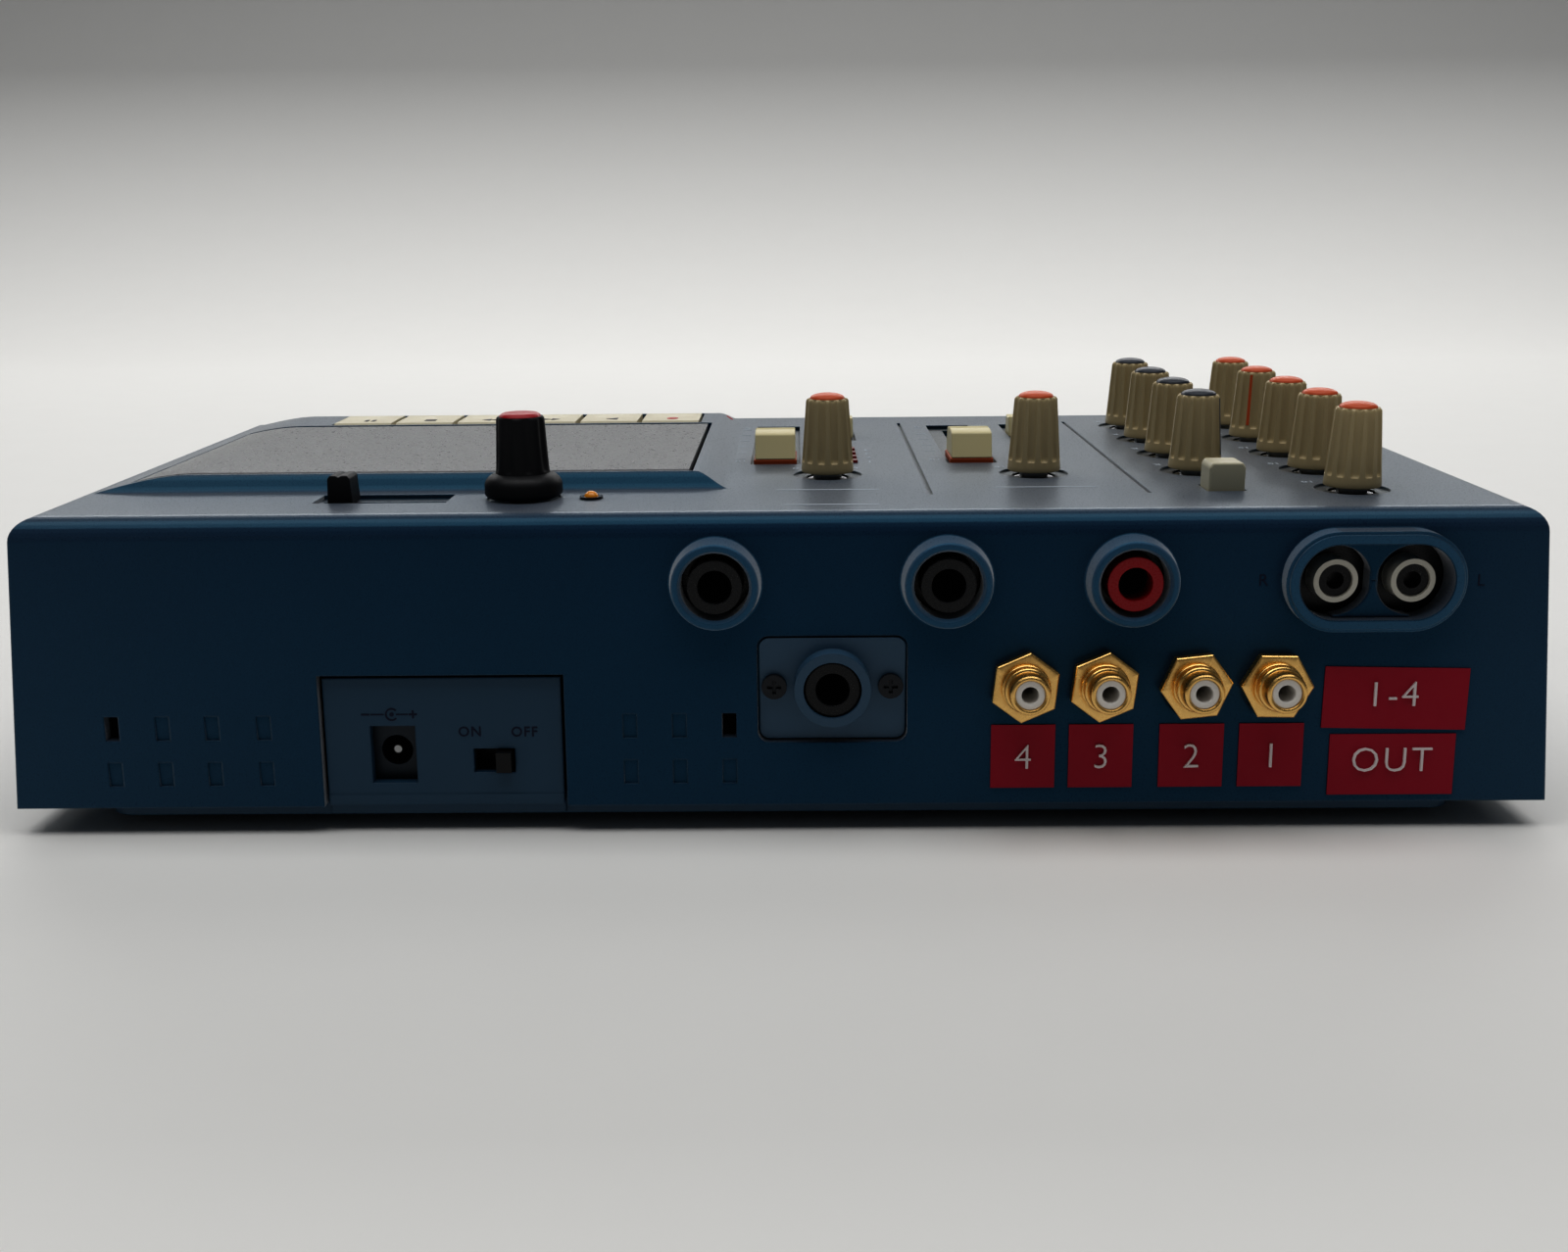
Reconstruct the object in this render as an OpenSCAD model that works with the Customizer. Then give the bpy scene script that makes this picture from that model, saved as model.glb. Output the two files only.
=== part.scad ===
// Four track cassette recorder: a moulded two part case with a mixer on the left,
// a cassette deck on the right and its sockets along the back.
// X runs from the user's left to right, Y from front to back, Z up from the desk.
// The origin is under the middle of the whole recorder, on the desk.

/* [Case] */
// Width of the top case at its skirt
case_w = 296; // [290:1:310]
// Depth of the top case at its skirt, without the sockets
case_d = 212; // [206:1:224]
// Height of the flat top panel above the desk
panel_z = 62; // [60:0.5:66]
// Height of the palm rest above the desk
rest_z = 54; // [52:0.5:56]
// Height of the skirt's lower edge above the desk
skirt_z = 5.6; // [5.4:0.1:6.4]
// Lean of the case sides
lean = 3.8; // [2:0.2:5]
// Radius of the rolled top edges
roll_r = 4.5; // [3.5:0.25:5.5]
// Radius of the bottom plate's corners
corner_r = 4; // [3:0.5:6]
// Wall of the mouldings
wall = 2.4; // [2:0.1:2.6]
// Distance from the back of the flat panel to the step down to the palm rest
step_d = 134; // [132.5:0.5:136]

/* [Feet and bottom] */
// Height of the rubber feet
foot_h = 3; // [2.5:0.1:3.4]
// Radius of the rubber feet
foot_r = 7; // [5:0.5:9]
// Half the spacing of the feet across the width
foot_x = 108; // [90:1:116]
// Half the spacing of the feet across the depth
foot_y = 78; // [60:1:84]
// Width of the tray under the case
tray_w = 264; // [256:1:266]
// Distance from the skirt to the tray at the front and the back
tray_in = 3; // [2.8:0.1:8]
// Radius of a case screw's shank
case_screw_r = 1.5; // [1.2:0.1:1.8]
// Distance of the case screws from the skirt
case_screw_in = 10.5; // [10:0.25:11]

/* [Knobs] */
// Radius of a mixer knob at its foot
knob_r = 5.6; // [5:0.1:6]
// Radius of a mixer knob at its top
knob_top_r = 4.5; // [4.2:0.1:4.8]
// Height of a mixer knob without its cap
knob_h = 15.6; // [14:0.2:17]
// Height of the plain band at a knob's foot
knob_band = 2.2; // [1.6:0.1:3]
// Number of flutes round a knob
knob_flutes = 12; // [8:1:16]
// Radius of the coloured cap
cap_r = 3.7; // [3.2:0.1:3.9]
// Height of the cap's dome above the knob
cap_dome = 1.2; // [0.8:0.1:1.6]
// Gap between a knob and the panel
knob_gap = 0.7; // [0.5:0.1:1]
// Radius of a potentiometer shaft
shaft_r = 3; // [2.5:0.1:3.2]
// Columns of the two knob rows, left of the middle
knob_col_x = [-115.1, -89.5];
// Distance of the phones knob from the back of the panel
knob_row_1 = 18.2; // [17.5:0.1:20]
// Distance between knob rows
knob_row_pitch = 23.7; // [22:0.1:24.5]
// Radius of the black level knob's skirt
line_knob_r = 7.7; // [7:0.1:8.4]
// Place of the black level knob across the width
line_knob_x = 50.1; // [46:0.1:54]
// Distance of the black level knob from the back of the panel
line_knob_d = 15.8; // [14:0.1:17]
// Place of the two trim knobs across the width
trim_x = [-54.9, -10.8];
// Distance of the trim knobs from the back of the panel
trim_d = 40.6; // [38:0.1:43]

/* [Sliders] */
// Width of an input fader's slot
fader_slot_w = 11; // [10:0.2:12]
// Length of an input fader's slot
fader_slot_l = 62; // [54:1:64]
// Place of the two input faders across the width
fader_x = [-43.3, 0.6];
// Distance from the back of the panel to the fader slots
fader_d = 55; // [53:0.5:57]
// Length of a fader cap
fader_cap_l = 13.5; // [12:0.5:15]
// Height of a fader cap above the panel
fader_cap_h = 7; // [6:0.2:8]
// Place of the two track switches across the width
track_x = [-59.7, -15.7];
// Distance from the back of the panel to the track switch slots
track_d = 91; // [90:0.5:92]
// Length of a track switch slot
track_slot_l = 27; // [24:0.5:28]
// Length of the pitch slider's slot
pitch_slot_l = 26.5; // [24:0.5:28]
// Depth of the pitch slider's slot, front to back
pitch_slot_w = 9; // [8:0.2:10]
// Place of the pitch slot's middle across the width
pitch_x = 78; // [76:0.5:80]
// Distance of the pitch slot's middle from the back of the panel
pitch_d = 15.2; // [14:0.1:16]
// Width of the mono button
mono_w = 7.2; // [6.6:0.1:8]
// Place of the mono button across the width
mono_x = -89.9; // [-92:0.1:-88]
// Distance of the mono button from the back of the panel
mono_d = 20.5; // [19:0.1:22]

/* [Deck] */
// Height of the deck's raised top above the flat panel
deck_rise = 3.3; // [2.8:0.1:3.6]
// Left edge of the cassette lid
lid_x0 = 18; // [17:0.25:19]
// Right edge of the cassette lid
lid_x1 = 133; // [131:0.25:134]
// Distance from the back of the panel to the lid
lid_d0 = 28.5; // [28:0.25:29]
// Distance from the back of the panel to the lid's front edge
lid_d1 = 99.5; // [98.5:0.25:100]
// Gap round the lid
lid_gap = 0.9; // [0.8:0.1:1.2]
// Wide gap along the lid's front edge
lid_front_gap = 1.9; // [1.5:0.1:2.2]
// Width of a cassette
cassette_w = 100.4; // [100:0.1:102]
// Front edge of a cassette, from the back of the panel
cassette_d = 95.5; // [95:0.25:96]
// Distance between the two reels
reel_pitch = 42.5; // [42:0.1:43]
// Distance from the reels to the cassette's front edge
reel_in = 35; // [33:0.5:37]
// Left edge of the first transport key
key_x0 = 20.6; // [20:0.1:21]
// Distance between transport keys
key_pitch = 15.6; // [15:0.05:15.8]
// Gap between transport keys
key_gap = 1.2; // [0.8:0.1:1.6]
// Distance from the back of the panel to the transport keys
key_d = 103.2; // [103:0.1:104]
// Length of a transport key's top
key_l = 15.6; // [14:0.2:16]
// Travel of a transport key
key_travel = 4; // [3:0.25:4.5]

/* [Sockets] */
// Depth of the quarter inch sockets' line under the panel
jack_drop = 13; // [12:0.25:13.5]
// Radius of a quarter inch socket's bore
jack_bore_r = 3.2; // [3.1:0.05:3.3]
// Places of the quarter inch sockets across the width
jack_x = [11.2, -32.5, -67.2];
// Radius of the moulded collars at their foot
collar_r = 8.9; // [8.4:0.1:9.4]
// Height of the moulded collars
collar_h = 4; // [3:0.25:4.5]
// Place of the added socket plate across the width
plate_x = -10.8; // [-12:0.1:-9]
// Depth of the added sockets' line under the panel
lower_drop = 33; // [32:0.25:34]
// Width of the socket plate's pocket
plate_w = 28.6; // [27:0.2:30]
// Height of the socket plate's pocket
plate_h = 20.8; // [19:0.2:22]
// Places of the gold sockets across the width
gold_x = [-94.7, -79.5, -62.2, -47.3];
// Turn of each gold socket's nut
nut_turn = [-1, 6, 23, 23.5];
// Radius of the plug end of a phono socket
phono_r = 4.15; // [4:0.05:4.2]
// Distance across the flats of a gold socket's nut
nut_af = 11.9; // [11:0.1:12.5]
// Reach of the gold sockets out of the back
gold_reach = 9.4; // [8.5:0.1:10.5]
// Middle of the line output across the width
line_x = -112; // [-114:0.25:-110]
// Distance between the two line output sockets
line_pitch = 14.4; // [14:0.1:15]
// Edges of the power panel across the width
power_x0 = 40.6; // [39:0.2:42]
// Right edge of the power panel
power_x1 = 87.9; // [86:0.2:90]
// Height of the power panel's top under the flat panel
power_drop = 30.4; // [29:0.2:32]

/* [Hidden] */
FINE = 48;
ROUND = 24;
cut = 1;
hair = 0.05;
touch = 0.3;
knob_rows = 5;
track_count = 4;

// Lean of the sides, and where the flat panel starts behind the skirt
lean_run = (panel_z - roll_r - skirt_z) * tan(lean);
skirt_to_panel = lean_run + roll_r / cos(lean);
gold_face_run = (panel_z - lower_drop - skirt_z) * tan(lean);
socket_past_skirt = gold_reach - gold_face_run;
back_y = (case_d - socket_past_skirt) / 2;
front_y = back_y - case_d;
panel_back_y = back_y - skirt_to_panel;
middle_y = (back_y + front_y) / 2;
side_x = case_w / 2;
step_y = panel_back_y - step_d;
under_z = panel_z - wall;
rest_under_z = rest_z - wall;
deck_z = panel_z + deck_rise;

// Y of a feature that lies d in front of the back of the flat panel
function at_d(d) = panel_back_y - d;
// Y of the back face at height z
function face_y(z) = back_y - (z - skirt_z) * tan(lean);
// Points of an arc about c
function arc(c, r, a0, a1, n = 8) =
  [for (i = [0:n]) c + r * [cos(a0 + (a1 - a0) * i / n), sin(a0 + (a1 - a0) * i / n)]];
// Outline of a leaning wall with a rolled top, from the foot up, measured from r0 inwards
function wall_outline(r0, z0, z1, e) =
  let (zc = z1 - e)
  let (xc = r0 - (zc - z0) * tan(lean) - e / cos(lean))
  concat([[r0, z0]], arc([xc, zc], e, lean, 90));
function mirror_x(points) =
  [for (i = [len(points) - 1:-1:0]) [-points[i][0], points[i][1]]];

// ---- bottom case sizes
tray_bottom = foot_h;
floor_t = 2.2;
plate_top = skirt_z + floor_t;
plate_in = wall + 0.5;
rim_t = 1.8;
rim_top = 15;
board_t = 1.6;
main_board_z = 12;
post_r = 4;

// ---- knob places
function knob_row_d(row) = knob_row_1 + row * knob_row_pitch;
dish_r = 7.3;
dish_depth = 0.5;
shaft_gap = 0.35;
knob_bottom = panel_z + knob_gap;
control_board_z = under_z - 10.2;
pot_w = 10;
pot_top = under_z - touch;
pot_bottom = control_board_z + board_t;
bush_r = shaft_r + 1.2;
bush_top = panel_z - dish_depth - touch;

// ---- deck sizes
lid_t = 3.2;
lid_mid_x = (lid_x0 + lid_x1) / 2;
hinge_in = 2.4;
hinge_y = at_d(lid_d0 + hinge_in);
hinge_z = deck_z - 2.7;
hinge_pin_r = 0.75;
hinge_lug_r = 1.4;
hinge_lug_w = 4;
hinge_xs = [lid_x0 + 10, lid_x1 - 22];
lid_back_gap = 1.2;
cassette_l = 64;
cassette_x = lid_mid_x - 1;
well_in = 1.6;
well_floor_z = under_z - 12.6;
well_t = 1.6;
well_x0 = lid_x0 + well_in;
well_x1 = lid_x1 - well_in - 2;
well_d0 = lid_d0 + 0.6;
well_d1 = lid_d1 + 1.4;
heads_d = cassette_d - 3;
chassis_z = 42;
chassis_t = 1.2;
chassis_top = chassis_z + chassis_t;
chassis_x0 = 18.4;
chassis_x1 = 133.4;
chassis_d0 = 22;
chassis_d1 = 124;
reel_d = cassette_d - reel_in;
capstan_x = cassette_x + 29.5;
capstan_d = cassette_d - 6;
capstan_r = 1;
run_gap = 0.03;
flywheel_r = 25;
flywheel_z = 22;
flywheel_t = 8;
motor_x = cassette_x - 28;
motor_d = 60;
motor_r = 18;
pulley_r = 4.5;
belt_z = 24;
belt_h = 3;
belt_t = 1;
belt_gap = 0.3;
belt_sink = 1.2;
pinch_r = 5.5;
pinch_home_d = cassette_d + 4.3;
pinch_arm_l = 14;
key_w = key_pitch - key_gap;
key_top = deck_z + 0.3;
key_cap_h = 7;
stem_w = 4;
stem_l = 9;
stem_gap = 0.35;
stem_bottom = chassis_z - 2;
key_mid_d = key_d + key_l / 2;

// ---- front controls
counter_x = 100;
counter_d = 158;
counter_wheel_r = 6.4;
counter_wheel_w = 4.6;
counter_pitch = 5;
counter_axis_z = rest_under_z - counter_wheel_r - 0.5;
counter_window_w = 16;
counter_window_l = 7;
meter_x = 10;
meter_d = 158;
meter_w = 62;
meter_l = 20;
meter_sink = 0.8;

// ================= shared shapes =================

// Outline across a block of half width w
function block_outline(w, z0, z1, e) =
  concat(wall_outline(w, z0, z1, e), mirror_x(wall_outline(w, z0, z1, e)));
// A block with leaning sides and rolled top edges that meet in mitred corners
module leaning_block(x0, x1, y0, y1, z0, z1, e) {
  half_x = (x1 - x0) / 2;
  half_y = (y1 - y0) / 2;
  translate([(x0 + x1) / 2, (y0 + y1) / 2, 0])
    intersection() {
      rotate([90, 0, 90])
        linear_extrude(2 * (half_x + cut), center = true)
        polygon(block_outline(half_y, z0, z1, e));
      rotate([90, 0, 0])
        linear_extrude(2 * (half_y + cut), center = true)
        polygon(block_outline(half_x, z0, z1, e));
    }
}

// A box given by two corners
module span(x0, x1, y0, y1, z0, z1) {
  translate([x0, y0, z0]) cube([x1 - x0, y1 - y0, z1 - z0]);
}

// A plate with round corners
module round_plate(x0, x1, y0, y1, z0, z1, r) {
  span(x0 + r, x1 - r, y0, y1, z0, z1);
  span(x0, x1, y0 + r, y1 - r, z0, z1);
  for (x = [x0 + r, x1 - r], y = [y0 + r, y1 - r])
    translate([x, y, z0]) cylinder(r = r, h = z1 - z0, $fn = FINE);
}

// A round bar along Y that starts at y and grows towards the back
module bar_y(x, y, z, r, l) {
  translate([x, y, z]) rotate([-90, 0, 0]) cylinder(r = r, h = l, $fn = FINE);
}

// A post that stands at x, y
module post(x, y, z0, z1, r) {
  translate([x, y, z0]) cylinder(r = r, h = z1 - z0, $fn = FINE);
}

// Calls its children once for each cue knob column and row
module at_cue_knobs() {
  for (col = [0:1], row = [col:knob_rows - 1])
    translate([knob_col_x[col], at_d(knob_row_d(row)), 0]) children();
}

module at_trim_knobs() {
  for (x = trim_x) translate([x, at_d(trim_d), 0]) children();
}

module at_line_knob() {
  translate([line_knob_x, at_d(line_knob_d), 0]) children();
}

module at_all_knobs() {
  at_cue_knobs() children();
  at_trim_knobs() children();
  at_line_knob() children();
}

// ================= top case =================

// Height of the raised deck across the width: it falls away to the right side
deck_fall_x0 = 120;
deck_fall_x1 = side_x - skirt_to_panel - 0.2;
deck_foot_x = lid_x0 - 9;
deck_foot_d = lid_d0 - 5.2;
deck_front_d0 = key_d + key_l + 1.6;
deck_front_d1 = step_d - roll_r / cos(lean) - 0.3;
function deck_fall(t) = deck_rise * (1 - cos(90 * t));
function deck_ramp(t) = deck_rise * (1 - cos(180 * t)) / 2;
ramp_steps = 8;

function deck_across() = concat(
  [[deck_foot_x, under_z]],
  [for (i = [0:ramp_steps])
    [deck_foot_x + i / ramp_steps * (lid_x0 - 1 - deck_foot_x),
    panel_z - hair + deck_ramp(i / ramp_steps) + hair * i / ramp_steps]],
  deck_right_side());
function deck_right_side() = concat(
  [for (i = [0:ramp_steps])
    [deck_fall_x0 + i / ramp_steps * (deck_fall_x1 - deck_fall_x0),
    deck_z - deck_fall(i / ramp_steps) * (1 - hair / deck_rise)]],
  [[deck_fall_x1, under_z]]);
function deck_along() = concat(
  [[at_d(deck_foot_d), under_z]],
  [for (i = [0:ramp_steps])
    [at_d(deck_foot_d + i / ramp_steps * (lid_d0 - 1 - deck_foot_d)),
    panel_z + deck_ramp(i / ramp_steps)]],
  [for (i = [0:ramp_steps])
    [at_d(deck_front_d0 + i / ramp_steps * (deck_front_d1 - deck_front_d0)),
    deck_z - deck_ramp(i / ramp_steps)]],
  [[at_d(deck_front_d1), under_z]]);

// The raised deck round the lid and the keys
module raised_deck() {
  intersection() {
    rotate([90, 0, 0])
      linear_extrude(2 * case_d, center = true)
      polygon(deck_across());
    rotate([90, 0, 90])
      linear_extrude(2 * case_w, center = true)
      polygon(deck_along());
  }
}

module case_outside() {
  // the front block's sides lie a hair inside those of the back block
  leaning_block(-side_x + hair, side_x - hair, front_y, middle_y, skirt_z, rest_z, roll_r);
  leaning_block(-side_x, side_x, step_y - lean_run, back_y, skirt_z, panel_z, roll_r);
}

module case_inside() {
  inner_roll = roll_r - wall;
  leaning_block(-side_x + wall + hair, side_x - wall - hair, front_y + wall, middle_y - wall,
    skirt_z, rest_under_z, inner_roll);
  leaning_block(-side_x + wall, side_x - wall, step_y - lean_run + wall, back_y - wall,
    skirt_z, under_z, inner_roll);
  span(-side_x + wall + hair, side_x - wall - hair, front_y + wall + hair, back_y - wall - hair,
    skirt_z - cut, skirt_z + hair);
}

boss_r = 3.6;
boss_foot = plate_top + touch;
boss_hole_l = 14;
boss_xs = [-side_x + case_screw_in, side_x - case_screw_in];
boss_ys = [front_y + 16, middle_y - 10, back_y - 42];

// Columns that the case screws bite into, each tied to the side wall
module screw_columns() {
  for (x = boss_xs, y = boss_ys) {
    top = y < step_y ? rest_under_z + hair : under_z + hair;
    post(x, y, boss_foot, top, boss_r);
  }
}

module screw_column_bores() {
  for (x = boss_xs, y = boss_ys)
    post(x, y, boss_foot - cut, boss_foot + boss_hole_l, case_screw_r + hair);
}

// Round collar round a quarter inch socket
collar_bore_r = 6.5;
collar_lip_r = 0.7;
module socket_collars() {
  z = panel_z - jack_drop;
  outer = collar_r - 0.6 - collar_lip_r;
  for (x = jack_x)
    translate([x, face_y(z), z])
    rotate([-90, 0, 0])
    rotate_extrude($fn = FINE)
    polygon(concat([[collar_bore_r - hair, -wall / 2], [collar_r, -wall / 2]],
      arc([outer, collar_h - collar_lip_r], collar_lip_r, 10, 90, 5),
      [[collar_bore_r + 0.5, collar_h], [collar_bore_r - hair, collar_h - 1]]));
}

// Long collar round the line output
line_collar_r = 9.6;
line_hole_r = 7.2;
line_half = line_pitch / 2;
bridge_w = 1.5;
module line_collar(r, y0, y1) {
  z = panel_z - jack_drop;
  for (s = [-1, 1]) bar_y(line_x + s * line_half, y0, z, r, y1 - y0);
  span(line_x - line_half, line_x + line_half, y0, y1, z - r, z + r);
}

// Small pressed marks low on the back
mark_w = 2.7;
mark_h = 4.8;
mark_drops = [40.6, 49.7];
mark_xs = [128.1, 118.3, 108.7, 98.7, 28.1, 18.6, 9];
mark_depth = 0.4;
open_marks = [mark_xs[0], mark_xs[6]];
module back_marks() {
  for (x = mark_xs, drop = mark_drops) {
    z = panel_z - drop;
    deep = drop == mark_drops[0] && len([for (o = open_marks) if (o == x) o]) > 0;
    depth = deep ? wall + cut : mark_depth;
    span(x - mark_w / 2, x + mark_w / 2, face_y(z) - depth, back_y + cut,
      z - mark_h / 2, z + mark_h / 2);
  }
}

plate_pocket = 1.5;
plate_r = 2.2;
// Block with round corners cut into the back face from depth y0
module back_pocket(x0, x1, z0, z1, y0, r) {
  translate([0, y0, 0])
    rotate([90, 0, 0])
    translate([0, 0, -collar_h - 2 * wall - lean_run])
    round_plate(x0, x1, z0, z1, 0, collar_h + 2 * wall + lean_run, r);
}

module back_openings() {
  jz = panel_z - jack_drop;
  lz = panel_z - lower_drop;
  for (x = jack_x) bar_y(x, face_y(jz) - wall - cut, jz, collar_bore_r, wall + cut + collar_h - 1.1);
  difference() {
    line_collar(line_hole_r, face_y(jz) - wall - 2 * cut, back_y + collar_h + cut);
    span(line_x - bridge_w / 2, line_x + bridge_w / 2, face_y(jz) - wall - 3 * cut,
      face_y(jz) + line_bridge_y, jz - 2 * line_hole_r, jz + 2 * line_hole_r);
  }
  back_pocket(plate_x - plate_w / 2, plate_x + plate_w / 2, lz - plate_h / 2 - 0.6,
    lz + plate_h / 2 - 0.6, face_y(lz) - plate_pocket, plate_r);
  bar_y(plate_x, face_y(lz) - 2 * wall, lz, plate_hole_r, 3 * wall);
  for (s = [-1, 1])
    bar_y(plate_x + s * plate_screw_x, face_y(lz) - 2 * wall, lz, plate_screw_r + hair, 3 * wall);
  for (x = gold_x) {
    bar_y(x, face_y(lz) - 2 * wall, lz, gold_thread_r + 0.1, 3 * wall);
    bar_y(x, face_y(lz), lz, nut_af / 2 + 0.3, wall);
  }
  span(power_x0, power_x1, face_y(0) - 4 * wall - lean_run, back_y + cut,
    skirt_z - cut, panel_z - power_drop);
  back_marks();
}
line_bridge_y = 1.2;
plate_hole_r = 7.6;
plate_screw_x = 11.1;
plate_screw_r = 1.4;
gold_thread_r = 3.9;

groove_w = 0.8;
groove_depth = 0.6;
groove_xs = [-74.3, -30.95];
groove_d0 = 15.5;
groove_d1 = 122;
fader_sink = 1;
fader_stem_w = 2.4;
track_slot_w = 5.8;
track_stem_w = 1.6;
pitch_sink = 0.9;
pitch_stem_w = 1.8;
lamp_r = 1.5;
lamp_bezel_r = 2.3;
power_lamp_x = 36.5;
power_lamp_d = 14.2;
track_lamp_x = -17;
track_lamp_d = 56;
track_lamp_pitch = 5.9;
track_lamp_w = 1.6;
track_lamp_l = 2.6;
track_cap_l = 7;

module slider_slots() {
  for (x = fader_x) {
    span(x - fader_slot_w / 2, x + fader_slot_w / 2, at_d(fader_d + fader_slot_l), at_d(fader_d),
      panel_z - fader_sink, panel_z + cut);
    span(x - fader_stem_w / 2 - touch, x + fader_stem_w / 2 + touch,
      at_d(fader_d + fader_slot_l - 3), at_d(fader_d + 3), under_z - cut, panel_z);
  }
  for (x = track_x) {
    span(x - track_slot_w / 2, x + track_slot_w / 2, at_d(track_d + track_slot_l), at_d(track_d),
      panel_z - fader_sink, panel_z + cut);
    span(x - track_stem_w / 2 - touch, x + track_stem_w / 2 + touch,
      at_d(track_d + track_slot_l - 1.5), at_d(track_d + 1.5), under_z - cut, panel_z);
  }
  span(pitch_x - pitch_slot_l / 2, pitch_x + pitch_slot_l / 2, at_d(pitch_d + pitch_slot_w / 2),
    at_d(pitch_d - pitch_slot_w / 2), panel_z - pitch_sink, panel_z + cut);
  span(pitch_x - pitch_slot_l / 2 + 1, pitch_x + pitch_slot_l / 2 - 1,
    at_d(pitch_d) - pitch_stem_w / 2 - touch, at_d(pitch_d) + pitch_stem_w / 2 + touch,
    under_z - cut, panel_z);
}

module lamp_holes() {
  post(power_lamp_x, at_d(power_lamp_d), under_z - cut, panel_z + cut, lamp_bezel_r + hair);
  for (i = [0:track_count - 1])
    span(track_lamp_x - track_lamp_w / 2 - hair, track_lamp_x + track_lamp_w / 2 + hair,
      at_d(track_lamp_d + i * track_lamp_pitch + track_lamp_l) - hair,
      at_d(track_lamp_d + i * track_lamp_pitch) + hair, under_z - cut, panel_z + cut);
}

module panel_openings() {
  at_all_knobs() {
    post(0, 0, panel_z - dish_depth, panel_z + cut, dish_r);
    post(0, 0, under_z - cut, panel_z, bush_r + touch);
  }
  slider_slots();
  lamp_holes();
  for (x = groove_xs)
    span(x - groove_w / 2, x + groove_w / 2, at_d(groove_d1), at_d(groove_d0),
      panel_z - groove_depth, panel_z + cut);
  span(mono_x - mono_w / 2 - touch, mono_x + mono_w / 2 + touch,
    at_d(mono_d + mono_w / 2) - touch, at_d(mono_d - mono_w / 2) + touch,
    under_z - cut, panel_z + cut);
  // cassette lid
  span(lid_x0 - lid_gap, lid_x1 + lid_gap, at_d(lid_d1) - lid_front_gap, at_d(lid_d0) + lid_back_gap,
    under_z - cut, deck_z + cut);
  // transport keys
  span(key_x0 - key_gap / 2, key_x0 + 6 * key_pitch - key_gap / 2,
    at_d(key_d + key_l) - key_gap / 2, at_d(key_d) + key_gap / 2, under_z - cut, deck_z + cut);
  // counter window, its reset button and the level meter
  span(counter_x - counter_window_w / 2, counter_x + counter_window_w / 2,
    at_d(counter_d) - counter_window_l / 2, at_d(counter_d) + counter_window_l / 2,
    rest_under_z - cut, rest_z + cut);
  post(counter_x + reset_dx, at_d(counter_d), rest_under_z - cut, rest_z + cut, reset_r + touch);
  span(meter_x - meter_w / 2 - hair, meter_x + meter_w / 2 + hair,
    at_d(meter_d) - meter_l / 2 - hair, at_d(meter_d) + meter_l / 2 + hair,
    rest_under_z - cut, rest_z + cut);
}
reset_dx = 17;
reset_r = 3;

module top_case() {
  color([0.13, 0.22, 0.36])
  difference() {
    union() {
      difference() {
        union() {
          case_outside();
          raised_deck();
          socket_collars();
          line_collar(line_collar_r, face_y(panel_z - jack_drop) - wall / 2,
            face_y(panel_z - jack_drop) + collar_h - 1);
          line_collar(line_collar_r - 0.6, face_y(panel_z - jack_drop),
            face_y(panel_z - jack_drop) + collar_h - 0.5);
        }
        case_inside();
      }
      screw_columns();
      // backing behind the plate pocket
      span(plate_x - plate_w / 2 - wall, plate_x + plate_w / 2 + wall,
        face_y(panel_z - lower_drop) - 2 * wall + 0.4, face_y(panel_z - lower_drop) - wall + 0.4,
        panel_z - lower_drop - plate_h / 2 - wall, panel_z - lower_drop + plate_h / 2 + 1.2);
    }
    back_openings();
    panel_openings();
    screw_column_bores();
  }
}

// ================= bottom case =================

tray_half = tray_w / 2;
tray_r = 5;
tray_wall = 2;
plate_half = side_x - plate_in;
power_gap = 0.7;
power_panel_t = 2.2;
power_sink = 1;
dc_x = 74.1;
dc_drop = 46.3;
dc_open_w = 8.7;
dc_open_h = 11.4;
switch_x = 54.6;
switch_drop = 47.6;
switch_open_w = 8;
switch_open_h = 4.8;
chassis_post_xs = [chassis_x0 + 6, chassis_x1 - 6];
chassis_post_ds = [chassis_d0 + 5, chassis_d1 - 3.5];
board_post_xs = [-125, -20, 60];
board_post_ds = [50, 120, 180];

// The lighter panel that stands up into the cut-out at the back
module power_panel() {
  z1 = panel_z - power_drop - power_gap;
  x0 = power_x0 + power_gap;
  x1 = power_x1 - power_gap;
  dz = panel_z - dc_drop;
  sz = panel_z - switch_drop;
  difference() {
    rotate([90, 0, 90])
      translate([0, 0, x0])
      linear_extrude(x1 - x0)
      polygon([
        [face_y(skirt_z) - power_sink, skirt_z],
        [face_y(z1) - power_sink, z1],
        [face_y(z1) - power_sink - power_panel_t, z1],
        [face_y(skirt_z) - power_sink - power_panel_t, skirt_z]
      ]);
    span(dc_x - dc_open_w / 2, dc_x + dc_open_w / 2, back_y - 4 * wall, back_y + cut,
      dz - dc_open_h / 2, dz + dc_open_h / 2);
    span(switch_x - switch_open_w / 2, switch_x + switch_open_w / 2, back_y - 4 * wall,
      back_y + cut, sz - switch_open_h / 2, sz + switch_open_h / 2);
  }
}

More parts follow.
